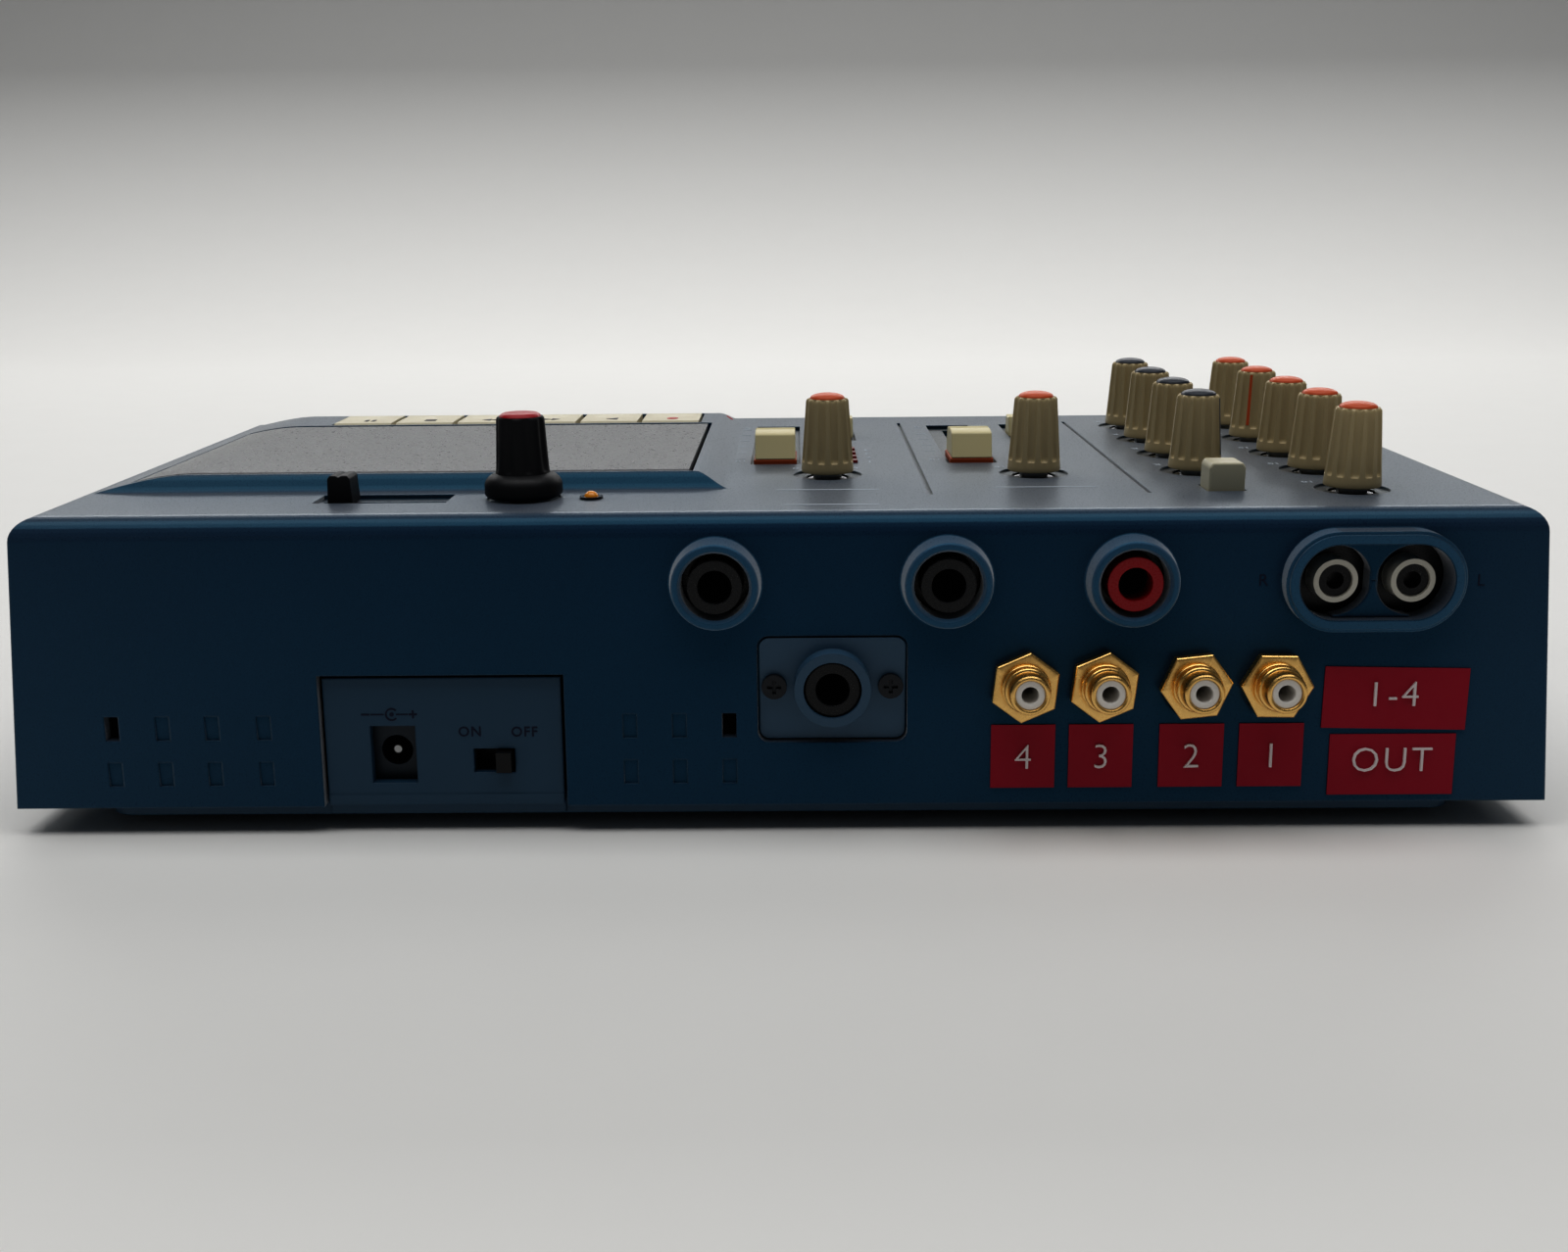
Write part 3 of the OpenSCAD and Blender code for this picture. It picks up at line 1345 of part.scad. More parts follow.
module cassette_well() {
  z0 = well_floor_z - well_t;
  color([0.05, 0.05, 0.055])
  difference() {
    span(well_x0, well_x1, at_d(well_d1), at_d(well_d0), z0, under_z - touch);
    span(well_x0 + well_t, well_x1 - well_t, at_d(well_d1 - well_t), at_d(well_d0 + well_t),
      well_floor_z, panel_z);
    // open front for the heads and the pinch roller
    span(cassette_x - 38, well_x1 - well_t - 3, at_d(well_d1) - cut, at_d(heads_d),
      z0 - cut, panel_z);
    for (s = [-1, 1]) post(cassette_x + s * reel_pitch / 2, at_d(reel_d), z0 - cut, panel_z, 6);
    post(capstan_x, at_d(capstan_d), z0 - cut, panel_z, 3);
    span(capstan_x - pinch_r - 1.5, capstan_x + pinch_r + 1.5, at_d(heads_d) - cut,
      at_d(capstan_d), z0 - cut, panel_z);
  }
  // lugs that carry the lid's hinge pins
  color([0.05, 0.05, 0.055])
  for (x = hinge_xs)
    difference() {
      union() {
        span(x, x + hinge_lug_w, hinge_y - hinge_lug_r, hinge_y + hinge_lug_r, under_z - 4, hinge_z);
        span(x, x + hinge_lug_w, hinge_y - hinge_lug_r, at_d(well_d0) - 0.4, under_z - 4, under_z - touch);
        translate([x, hinge_y, hinge_z])
          rotate([0, 90, 0])
          cylinder(r = hinge_lug_r, h = hinge_lug_w, $fn = FINE);
      }
      translate([x - cut, hinge_y, hinge_z])
        rotate([0, 90, 0])
        cylinder(r = hinge_pin_r + hair, h = hinge_lug_w + 2 * cut, $fn = FINE);
    }
}

bearing_r = 4;
reel_pin_r = 1.25;
module deck_chassis() {
  color([0.7, 0.71, 0.73])
  difference() {
    union() {
      span(chassis_x0, chassis_x1, at_d(chassis_d1), at_d(chassis_d0), chassis_z, chassis_top);
      // flanges that stiffen the left and right edges
      for (x = [chassis_x0, chassis_x1 - chassis_t])
        span(x, x + chassis_t, at_d(chassis_d1), at_d(chassis_d0), chassis_z - 6, chassis_z + hair);
      post(capstan_x, at_d(capstan_d), chassis_z - 9, well_floor_z - well_t - touch, bearing_r);
      for (s = [-1, 1])
        post(cassette_x + s * reel_pitch / 2, at_d(reel_d), chassis_z, chassis_top + 9, reel_pin_r);
      post(pinch_pivot_x, at_d(pinch_home_d), chassis_z, chassis_top + 8, reel_pin_r);
      // pads under the cassette well
      for (x = [well_x0 + 4, well_x1 - 4], d = [well_d0 + 4, well_d0 + 50])
        post(x, at_d(d), chassis_top - hair, well_floor_z - well_t, 2.5);
    }
    post(capstan_x, at_d(capstan_d), chassis_z - 10, chassis_top + 4, capstan_r + run_gap);
    for (i = [0:5])
      span(key_x0 + i * key_pitch + key_w / 2 - stem_w / 2 - stem_gap,
        key_x0 + i * key_pitch + key_w / 2 + stem_w / 2 + stem_gap,
        at_d(key_mid_d) - stem_l / 2 - stem_gap, at_d(key_mid_d) + stem_l / 2 + stem_gap,
        chassis_z - cut, chassis_top + cut);
    post(motor_x, at_d(motor_d), chassis_z - cut, chassis_top + cut, 3);
  }
}
pinch_pivot_x = capstan_x + pinch_arm_l;

motor_bottom = 29;
motor_shaft_r = 1;
module deck_motor() {
  color([0.6, 0.61, 0.63])
  difference() {
    post(motor_x, at_d(motor_d), motor_bottom, chassis_z, motor_r);
    post(motor_x, at_d(motor_d), motor_bottom - cut, chassis_z - 3, motor_shaft_r + hair);
  }
}

module motor_pulley() {
  color([0.75, 0.6, 0.3])
  translate([motor_x, at_d(motor_d), 0])
  difference() {
    union() {
      post(0, 0, belt_z - 1.5, belt_z + belt_h + 1.5, pulley_r);
      post(0, 0, belt_z - 2, chassis_z - 3 - hair, motor_shaft_r);
    }
    difference() {
      post(0, 0, belt_z - 0.2, belt_z + belt_h + 0.2, pulley_r + cut);
      post(0, 0, belt_z - cut, belt_z + belt_h + cut, pulley_r - belt_sink);
    }
  }
}

module capstan_flywheel() {
  translate([capstan_x, at_d(capstan_d), 0]) {
    color([0.55, 0.56, 0.58])
    difference() {
      post(0, 0, flywheel_z, flywheel_z + flywheel_t, flywheel_r);
      post(0, 0, flywheel_z + flywheel_t - 2, flywheel_z + flywheel_t + cut, flywheel_r - 5);
      difference() {
        post(0, 0, belt_z - 0.2, belt_z + belt_h + 0.2, flywheel_r + cut);
        post(0, 0, belt_z - cut, belt_z + belt_h + cut, flywheel_r - belt_sink);
      }
    }
    color([0.8, 0.8, 0.82])
      post(0, 0, flywheel_z - 2, well_floor_z + 9.5, capstan_r);
  }
}

// Flat belt round the motor pulley and the flywheel
module belt_loop(extra, z0, z1) {
  hull() {
    post(motor_x, at_d(motor_d), z0, z1, pulley_r - belt_sink + belt_gap + extra);
    post(capstan_x, at_d(capstan_d), z0, z1, flywheel_r - belt_sink + belt_gap + extra);
  }
}
module drive_belt() {
  color([0.04, 0.04, 0.04])
  difference() {
    belt_loop(belt_t, belt_z, belt_z + belt_h);
    belt_loop(0, belt_z - cut, belt_z + belt_h + cut);
  }
}

spindle_disc_r = 11;
spindle_r = 4.2;
spindle_top = well_floor_z + 8.6;
module reel_spindle(side) {
  color([0.85, 0.85, 0.83])
  translate([cassette_x + side * reel_pitch / 2, at_d(reel_d), 0])
  difference() {
    union() {
      post(0, 0, chassis_top + touch, chassis_top + touch + 1.4, spindle_disc_r);
      post(0, 0, chassis_top + touch, spindle_top, spindle_r);
      for (a = [0, 120, 240])
        rotate([0, 0, a])
        span(0, spindle_r + 0.9, -0.6, 0.6, well_floor_z + 1, spindle_top - 1);
    }
    post(0, 0, chassis_z, chassis_top + 9.6, reel_pin_r + hair);
  }
}
module supply_spindle() { reel_spindle(-1); }
module takeup_spindle() { reel_spindle(1); }

arm_z = chassis_top + 0.5;
arm_t = 1.6;
roller_z = arm_z + arm_t + 0.4;
roller_pin_r = 1.2;
module pinch_arm() {
  color([0.65, 0.66, 0.68])
  difference() {
    union() {
      span(capstan_x, pinch_pivot_x, at_d(pinch_home_d) - 2.5, at_d(pinch_home_d) + 2.5,
        arm_z, arm_z + arm_t);
      post(pinch_pivot_x, at_d(pinch_home_d), arm_z, arm_z + 5, 3);
      post(capstan_x, at_d(pinch_home_d), arm_z, arm_z + arm_t, 2.5);
      post(capstan_x, at_d(pinch_home_d), arm_z, roller_z + 8, roller_pin_r);
    }
    post(pinch_pivot_x, at_d(pinch_home_d), arm_z - cut, arm_z + 6, reel_pin_r + hair);
  }
}

module pinch_roller() {
  color([0.08, 0.08, 0.08])
  difference() {
    post(capstan_x, at_d(pinch_home_d), roller_z, roller_z + 7, pinch_r);
    post(capstan_x, at_d(pinch_home_d), roller_z - cut, roller_z + 8, roller_pin_r + hair);
  }
}

head_travel = 3.2;
head_x = cassette_x;
head_front_d = cassette_d + 1.6;
// Sliding plate that carries the record and play head and the erase head
module head_carriage() {
  plate_z = chassis_top + touch;
  color([0.68, 0.69, 0.7])
    span(head_x - 34, head_x + 20, at_d(head_front_d + 8), at_d(head_front_d - 1),
      plate_z, plate_z + 1.2);
  color([0.8, 0.8, 0.82]) {
    difference() {
      span(head_x - 6.5, head_x + 6.5, at_d(head_front_d + 5.5), at_d(head_front_d),
        plate_z + 1.2, plate_z + 13);
      span(head_x - 4, head_x + 4, at_d(head_front_d) - 0.4, at_d(head_front_d) + cut,
        plate_z + 3, plate_z + 11);
    }
    span(head_x - 31, head_x - 21, at_d(head_front_d + 5.2), at_d(head_front_d + 0.6),
      plate_z + 1.2, plate_z + 12);
  }
}

// ================= meter and counter =================

meter_segments = 7;
meter_rows = 4;
segment_w = 4.6;
segment_l = 1.8;
module level_meter() {
  z1 = rest_z - meter_sink;
  color([0.03, 0.03, 0.035])
  difference() {
    span(meter_x - meter_w / 2, meter_x + meter_w / 2, at_d(meter_d) - meter_l / 2,
      at_d(meter_d) + meter_l / 2, rest_under_z - 5, z1);
    for (i = [0:meter_segments - 1], j = [0:meter_rows - 1])
      translate([meter_segment_x(i), meter_segment_y(j), z1 - 1])
      cube([segment_w, segment_l, 2 * cut]);
  }
  for (i = [0:meter_segments - 1], j = [0:meter_rows - 1])
    color(i > 4 ? [0.7, 0.1, 0.05] : [0.15, 0.5, 0.15])
    translate([meter_segment_x(i) + hair, meter_segment_y(j) + hair, z1 - 1 + hair])
    cube([segment_w - 2 * hair, segment_l - 2 * hair, 1]);
}
function meter_segment_x(i) = meter_x - meter_w / 2 + 8 + i * (meter_w - 14) / meter_segments;
function meter_segment_y(j) = at_d(meter_d) - meter_l / 2 + 2.4 + j * (meter_l - 4) / meter_rows;

counter_cheek = 1.2;
counter_pin_r = 1;
counter_half = 1.5 * counter_pitch + 0.6;
module counter_frame() {
  y = at_d(counter_d);
  foot = counter_axis_z - counter_wheel_r - 1.4;
  color([0.05, 0.05, 0.055]) {
    for (s = [-1, 1])
      span(counter_x + s * (counter_half + counter_cheek / 2) - counter_cheek / 2,
        counter_x + s * (counter_half + counter_cheek / 2) + counter_cheek / 2,
        y - 5, y + 5, foot, rest_under_z - touch);
    span(counter_x - counter_half - counter_cheek, counter_x + counter_half + counter_cheek,
      y - 5, y + 5, foot - 1, foot);
    translate([counter_x - counter_half - hair, y, counter_axis_z])
      rotate([0, 90, 0])
      cylinder(r = counter_pin_r, h = 2 * (counter_half + hair), $fn = ROUND);
    // guide of the reset button
    difference() {
      post(counter_x + reset_dx, y, rest_under_z - 9, rest_under_z - touch, reset_r + 1.6);
      post(counter_x + reset_dx, y, rest_under_z - 8, rest_under_z, reset_r + touch);
    }
    span(counter_x + counter_half, counter_x + reset_dx - reset_r - 1,
      y - 1.5, y + 1.5, rest_under_z - 9, rest_under_z - 6);
  }
}

module counter_wheel(place) {
  color([0.88, 0.87, 0.84])
  translate([counter_x + place * counter_pitch, at_d(counter_d), counter_axis_z])
    rotate([0, 90, 0])
    difference() {
      cylinder(r = counter_wheel_r, h = counter_wheel_w, center = true, $fn = FINE);
      cylinder(r = counter_pin_r + hair, h = 2 * counter_wheel_w, center = true, $fn = FINE);
    }
}
module counter_wheel_1() { counter_wheel(1); }
module counter_wheel_10() { counter_wheel(0); }
module counter_wheel_100() { counter_wheel(-1); }

reset_travel = 2;
module counter_reset() {
  color([0.05, 0.05, 0.055])
    post(counter_x + reset_dx, at_d(counter_d), rest_under_z - 4, rest_z + 2.4, reset_r);
}

top_case();
bottom_case();
rubber_feet();
case_screws();
cassette_well();
deck_chassis();
deck_motor();
drive_belt();
circuit_boards();
knob_potentiometers();
fader_tracks();
switch_bodies();
quarter_inch_sockets();
socket_plate();
line_out_sockets();
gold_sockets();
socket_insulators();
stuck_labels();
power_socket();
indicator_lamps();
level_meter();
counter_frame();
phones_level_knob();
cue_level_knob_1();
cue_level_knob_2();
cue_level_knob_3();
cue_level_knob_4();
cue_pan_knob_1();
cue_pan_knob_2();
cue_pan_knob_3();
cue_pan_knob_4();
trim_knob_1();
trim_knob_2();
line_level_knob();
pitch_slider();
mono_button();
input_fader_1();
input_fader_2();
track_switch_1();
track_switch_2();
power_switch();
record_key();
play_key();
rewind_key();
forward_key();
stop_key();
pause_key();
cassette_lid();
lid_window();
motor_pulley();
capstan_flywheel();
supply_spindle();
takeup_spindle();
pinch_arm();
pinch_roller();
head_carriage();
counter_wheel_1();
counter_wheel_10();
counter_wheel_100();
counter_reset();
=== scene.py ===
# %% [markdown]
# # A four track cassette recorder
# The real object is a moulded blue case with a mixer on the user's left, a cassette deck on the right, and its
# sockets along the back. The solids already come with true sizes, so this lesson adds what they leave out:
# finishes that catch the light, rounded edges, fine turned and moulded pieces, and the small printed marks.

# %% Load the solids
import math

import bmesh
import bpy
from mathutils import Matrix, Vector


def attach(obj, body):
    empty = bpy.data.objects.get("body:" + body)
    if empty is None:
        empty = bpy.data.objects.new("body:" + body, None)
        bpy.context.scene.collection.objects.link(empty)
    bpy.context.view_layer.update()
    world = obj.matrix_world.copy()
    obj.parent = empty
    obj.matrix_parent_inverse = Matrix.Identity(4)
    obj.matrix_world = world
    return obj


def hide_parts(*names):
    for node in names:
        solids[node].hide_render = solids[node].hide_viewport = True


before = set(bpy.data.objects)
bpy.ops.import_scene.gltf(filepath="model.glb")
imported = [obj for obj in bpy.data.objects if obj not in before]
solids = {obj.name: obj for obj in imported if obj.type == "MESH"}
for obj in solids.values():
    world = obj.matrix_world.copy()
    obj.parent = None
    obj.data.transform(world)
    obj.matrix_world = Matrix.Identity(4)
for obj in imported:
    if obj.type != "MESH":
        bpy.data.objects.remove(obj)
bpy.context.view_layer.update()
MM = 0.001

# %% [markdown]
# ## Places on the case
# Everything on the case is measured from two datums: the back edge of the flat panel, and the leaning back face.
# Writing them down once as small functions keeps each later piece on the surface that carries it.

# %% Datums of the case
panel_z = 62.0
rest_z = 54.0
skirt_z = 5.6
lean = math.radians(3.8)
skirt_back_y = 102.077
panel_back_y = 94.120
face_up = Vector((0, -math.sin(lean), math.cos(lean)))
face_out = Vector((0, math.cos(lean), math.sin(lean)))


def at_d(d):
    """Y of something d in front of the back edge of the flat panel."""
    return panel_back_y - d


def face_y(z):
    """Y of the leaning back face at height z."""
    return skirt_back_y - (z - skirt_z) * math.tan(lean)


print("back face runs from y", round(face_y(skirt_z), 1), "to", round(face_y(panel_z), 1))

# %% [markdown]
# ## The camera
# The portrait was taken from behind the recorder, a little above it, with a normal lens.

# %% Camera
pitch, yaw, roll = 0.2605, -0.0114, -0.0100
camera_place = Vector((-4.952, 386.72, 117.26))
ahead = Vector((-math.sin(yaw) * math.cos(pitch), -math.cos(yaw) * math.cos(pitch), -math.sin(pitch)))
level_right = Vector((-math.cos(yaw), math.sin(yaw), 0.0))
level_up = level_right.cross(ahead)
cam_right = math.cos(roll) * level_right + math.sin(roll) * level_up
cam_up = -math.sin(roll) * level_right + math.cos(roll) * level_up
camera_data = bpy.data.cameras.new("portrait_camera")
camera_data.lens = 36.0
camera_data.sensor_width = 36.0
camera_data.sensor_fit = "HORIZONTAL"
camera_data.clip_start = 0.01
camera = bpy.data.objects.new("portrait_camera", camera_data)
bpy.context.scene.collection.objects.link(camera)
turn = Matrix((cam_right, cam_up, -ahead)).transposed().to_4x4()
camera.matrix_world = Matrix.Translation(camera_place * MM) @ turn
bpy.context.scene.camera = camera
bpy.context.scene.view_settings.view_transform = "Standard"
bpy.context.scene.view_settings.look = "High Contrast"
print("camera looks down by", round(math.degrees(pitch), 1), "degrees")

# %% [markdown]
# ## One recipe for every finish
# Moulded plastic, plated steel and rubber differ in their numbers more than in their kind. Each has a fine grain
# that breaks up the highlights, and a slow wander of colour and gloss that a flat colour lacks. A single recipe
# of noise textures gives all of them. The Bevel node rounds the look of the sharp edges, as a mould does, and a
# little sheen gives the pale haze of dust that shows where the case is seen along its surface.


# %% Finish recipe
def tone(red, green, blue):
    """A colour as the eye sees it on a screen, turned into light."""
    light = [c / 255 / 12.92 if c <= 10 else ((c / 255 + 0.055) / 1.055) ** 2.4 for c in (red, green, blue)]
    return (*light, 1.0)


def shade(colour, factor):
    return tuple(min(1.0, c * factor) for c in colour[:3]) + (1.0,)


def noise(tree, place, size_mm, detail):
    texture = tree.nodes.new("ShaderNodeTexNoise")
    texture.inputs["Scale"].default_value = 1.0 / (size_mm * MM)
    texture.inputs["Detail"].default_value = detail
    tree.links.new(place.outputs["Object"], texture.inputs["Vector"])
    return texture.outputs["Fac"]


def spread(tree, value, low, high, into_low=0.3, into_high=0.7):
    stretch = tree.nodes.new("ShaderNodeMapRange")
    stretch.inputs["From Min"].default_value = into_low
    stretch.inputs["From Max"].default_value = into_high
    stretch.inputs["To Min"].default_value = low
    stretch.inputs["To Max"].default_value = high
    tree.links.new(value, stretch.inputs["Value"])
    return stretch.outputs["Result"]


def colour_mix(tree, factor, first, second):
    mix = tree.nodes.new("ShaderNodeMix")
    mix.data_type = "RGBA"
    tree.links.new(factor, mix.inputs[0])
    for socket, value in ((mix.inputs[6], first), (mix.inputs[7], second)):
        if isinstance(value, tuple):
            socket.default_value = value
        else:
            tree.links.new(value, socket)
    return mix.outputs[2]


def finish(name, colour, rough, metal=0.0, grain=0.4, relief=0.02, wander=0.07, edge=0.25, coat=0.0, shine=0.35,
           dust=0.0, tint=(1.0, 1.0, 1.0, 1.0)):
    """A finish with grain, wander, soft edges and dust. Sizes are in millimetres."""
    material = bpy.data.materials.new(name)
    material.use_nodes = True
    tree = material.node_tree
    tree.nodes.clear()
    out = tree.nodes.new("ShaderNodeOutputMaterial")
    shader = tree.nodes.new("ShaderNodeBsdfPrincipled")
    tree.links.new(shader.outputs["BSDF"], out.inputs["Surface"])
    place = tree.nodes.new("ShaderNodeTexCoord")
    slow = noise(tree, place, 22.0, 3.0)
    tree.links.new(colour_mix(tree, slow, shade(colour, 1 - wander), shade(colour, 1 + wander)),
                   shader.inputs["Base Color"])
    fine = noise(tree, place, grain, 2.0)
    tree.links.new(spread(tree, fine, rough - 0.05, rough + 0.06), shader.inputs["Roughness"])
    bump = tree.nodes.new("ShaderNodeBump")
    bump.inputs["Strength"].default_value = 0.6
    bump.inputs["Distance"].default_value = relief * MM
    tree.links.new(fine, bump.inputs["Height"])
    if edge:
        soft = tree.nodes.new("ShaderNodeBevel")
        soft.samples = 4
        soft.inputs["Radius"].default_value = edge * MM
        tree.links.new(soft.outputs["Normal"], bump.inputs["Normal"])
    tree.links.new(bump.outputs["Normal"], shader.inputs["Normal"])
    shader.inputs["Metallic"].default_value = metal
    shader.inputs["Specular IOR Level"].default_value = shine
    shader.inputs["Specular Tint"].default_value = tint
    shader.inputs["Sheen Weight"].default_value = dust
    shader.inputs["Coat Weight"].default_value = coat
    shader.inputs["Coat Roughness"].default_value = 0.08
    return material


print("label red as light:", [round(c, 3) for c in tone(156, 12, 44)[:3]])

# %% [markdown]
# ## Painting part of a solid
# Some solids carry two finishes, such as a red nose among black sockets. A mask made from the place on the part
# picks where the second colour goes. It stays put from every side, because it reads the object's own coordinates.


# %% Masks
def math_node(tree, kind, first, second=0.0, third=0.0):
    node = tree.nodes.new("ShaderNodeMath")
    node.operation = kind
    for socket, value in zip(node.inputs, (first, second, third)):
        if isinstance(value, (int, float)):
            socket.default_value = value
        else:
            tree.links.new(value, socket)
    return node.outputs[0]


def vector_node(tree, kind, first, second=None):
    node = tree.nodes.new("ShaderNodeVectorMath")
    node.operation = kind
    tree.links.new(first, node.inputs[0])
    if second is not None:
        node.inputs[1].default_value = second
    return node.outputs["Value" if kind == "LENGTH" else "Vector"]


def inside(material, **ranges):
    """1 inside the given ranges of x, y and z in millimetres, 0 outside."""
    tree = material.node_tree
    place = tree.nodes.new("ShaderNodeTexCoord")
    parts = tree.nodes.new("ShaderNodeSeparateXYZ")
    tree.links.new(place.outputs["Object"], parts.inputs[0])
    mask = None
    for axis, (low, high) in ranges.items():
        here = math_node(tree, "COMPARE", parts.outputs[axis.upper()], (low + high) / 2 * MM, (high - low) / 2 * MM)
        mask = here if mask is None else math_node(tree, "MULTIPLY", mask, here)
    return mask


def near_line(material, centre, keep, radius):
    """1 within a radius of a line through centre; keep holds 0 along the line's own axis."""
    tree = material.node_tree
    place = tree.nodes.new("ShaderNodeTexCoord")
    offset = vector_node(tree, "SUBTRACT", place.outputs["Object"], Vector(centre) * MM)
    distance = vector_node(tree, "LENGTH", vector_node(tree, "MULTIPLY", offset, keep))
    return math_node(tree, "LESS_THAN", distance, radius * MM)


def paint(material, mask, colour):
    """Put a colour over the base colour where the mask is 1."""
    tree = material.node_tree
    socket = tree.nodes["Principled BSDF"].inputs["Base Color"]
    before = socket.links[0].from_socket
    tree.links.new(colour_mix(tree, mask, before, colour), socket)


print("masks ready")

# %% [markdown]
# ## Finishes of the recorder
# The case is a dark grey-blue moulding with a fine spark-eroded grain. The knobs are a warm cream, the keys a
# little paler, and the metal inside is plated steel. Each is named for the piece or the maker's finish.

# %% Finishes
case_blue = finish("case_blue", tone(3, 46, 74), 0.3, grain=0.35, relief=0.01, edge=0.5, shine=0.42, dust=0.62,
                   tint=(0.2, 0.7, 1.0, 1.0))
tray_blue = finish("tray_blue", tone(46, 76, 98), 0.4, grain=0.35, relief=0.015, edge=0.6)
plate_blue = finish("plate_blue", tone(64, 92, 114), 0.38, grain=0.35, relief=0.01)
black_plastic = finish("black_plastic", tone(20, 21, 23), 0.38, relief=0.01)
well_black = finish("well_black", tone(17, 17, 18), 0.5)
socket_black = finish("socket_black", tone(22, 23, 26), 0.28, relief=0.005, edge=0.35)
foot_rubber = finish("foot_rubber", tone(24, 24, 25), 0.8, grain=0.8, relief=0.05, edge=0.5)
screw_black = finish("screw_black", tone(44, 46, 50), 0.2, metal=0.5, edge=0.15)
plated_steel = finish("plated_steel", tone(176, 178, 180), 0.34, metal=1.0, grain=0.6, relief=0.01)
polished_steel = finish("polished_steel", tone(196, 196, 198), 0.16, metal=1.0, relief=0.003)
turned_brass = finish("turned_brass", tone(196, 160, 92), 0.25, metal=1.0, relief=0.004)
gold_plating = finish("gold_plating", tone(236, 196, 128), 0.3, metal=1.0, relief=0.004, edge=0.12)
insulator_white = finish("insulator_white", tone(240, 236, 230), 0.4, relief=0.005)
label_red = finish("label_red", tone(156, 12, 44), 0.5, grain=1.2, relief=0.01, edge=0.0)
label_white = finish("label_white", tone(224, 214, 214), 0.5, relief=0.004, edge=0.0)
print_white = finish("print_white", tone(196, 204, 212), 0.55, relief=0.002, edge=0.0)
print_blue = finish("print_blue", tone(16, 26, 52), 0.5, relief=0.002, edge=0.0)
print_dark = finish("print_dark", tone(34, 34, 38), 0.55, relief=0.002, edge=0.0)
print_red = finish("print_red", tone(176, 30, 30), 0.5, relief=0.002, edge=0.0)
knob_tan = finish("knob_tan", tone(190, 174, 138), 0.42, relief=0.008, edge=0.0)
cap_orange = finish("cap_orange", tone(206, 98, 60), 0.40, relief=0.006, edge=0.0)
cap_grey = finish("cap_grey", tone(62, 66, 74), 0.38, relief=0.006, edge=0.0)
cap_red = finish("cap_red", tone(168, 28, 40), 0.36, relief=0.006, edge=0.0)
knob_rubber = finish("knob_rubber", tone(26, 27, 30), 0.5, relief=0.01, edge=0.0)
fader_cream = finish("fader_cream", tone(214, 204, 164), 0.42, relief=0.008, edge=0.0)
fader_brick = finish("fader_brick", tone(168, 84, 48), 0.5, relief=0.01, edge=0.0)
key_cream = finish("key_cream", tone(206, 198, 172), 0.40, relief=0.008, edge=0.4)
button_cream = finish("button_cream", tone(196, 190, 166), 0.42, relief=0.008, edge=0.0)
lid_smoke = finish("lid_smoke", tone(96, 98, 101), 0.3, grain=0.9, relief=0.0006, edge=0.25, coat=0.1)
board_green = finish("board_green", tone(28, 78, 48), 0.45, grain=0.9)
spindle_white = finish("spindle_white", tone(222, 221, 214), 0.38)
wheel_black = finish("wheel_black", tone(28, 28, 30), 0.4)
lamp_lens = finish("lamp_lens", tone(24, 24, 26), 0.22, relief=0.002, edge=0.1, coat=0.4)
meter_glass = finish("meter_glass", tone(14, 15, 17), 0.12, relief=0.001, coat=0.5)
print("finishes:", len(bpy.data.materials))

# %% [markdown]
# ## Dressing the solids that stay
# Most solids already have the real shape, down to the screw slots, so they only need a finish. The slots of the
# sliders and the sunk rings round the knobs are mouldings in the same case, and a mask paints shade into the
# mixer's: it darkens the panel a little below its surface. Another paints the pitch slider's slot a greyer blue.
# Other masks paint light onto the collars round the sockets, a paler blue where their slopes catch it, and colour
# a socket's nose, a jack's pin, the lamps and the meter.

# %% Masked colours of the case
recess_z = (60.4, 61.8)
# Painted shade: the mixer's slots and the sunk rings round its knobs are darkened below the panel's surface.
paint(case_blue, inside(case_blue, x=(-137, 12), y=(at_d(133), at_d(8)), z=recess_z), tone(14, 24, 32))
paint(case_blue, inside(case_blue, x=(12, 95), y=(at_d(26), at_d(8)), z=recess_z), tone(30, 52, 70))
along_y, along_z = (1, 0, 1), (1, 1, 0)
jack_z = panel_z - 13
collar_x, collar_r = (11.2, -32.5, -67.2), 9.0
line_out_x, line_out_half = -112.0, 7.2
line_out_centres = [(line_out_x + side * line_out_half, 0, jack_z) for side in (-1, 1)]
rim_outer_r, rim_inner_r = 9.6, 7.4


def paint_collar(mask):
    """Paint light, a paler blue, on the part of a mask that stands on the back face."""
    proud = inside(case_blue, y=(97.5, 106))
    paint(case_blue, math_node(case_blue.node_tree, "MULTIPLY", mask, proud), tone(46, 84, 112))


def line_out_shape(radius):
    """1 inside the long round-ended shape about the two line sockets."""
    shape = inside(case_blue, x=(line_out_x - line_out_half, line_out_x + line_out_half),
                   z=(jack_z - radius, jack_z + radius))
    for centre in line_out_centres:
        shape = math_node(case_blue.node_tree, "MAXIMUM", shape, near_line(case_blue, centre, along_y, radius))
    return shape


# Painted light: a paler blue on the collars round the sockets stands for the light their slopes catch.
for x in collar_x:
    paint_collar(near_line(case_blue, (x, 0, jack_z), along_y, collar_r))
paint_collar(math_node(case_blue.node_tree, "SUBTRACT", line_out_shape(rim_outer_r), line_out_shape(rim_inner_r)))
print("collars painted:", len(collar_x) + 1)

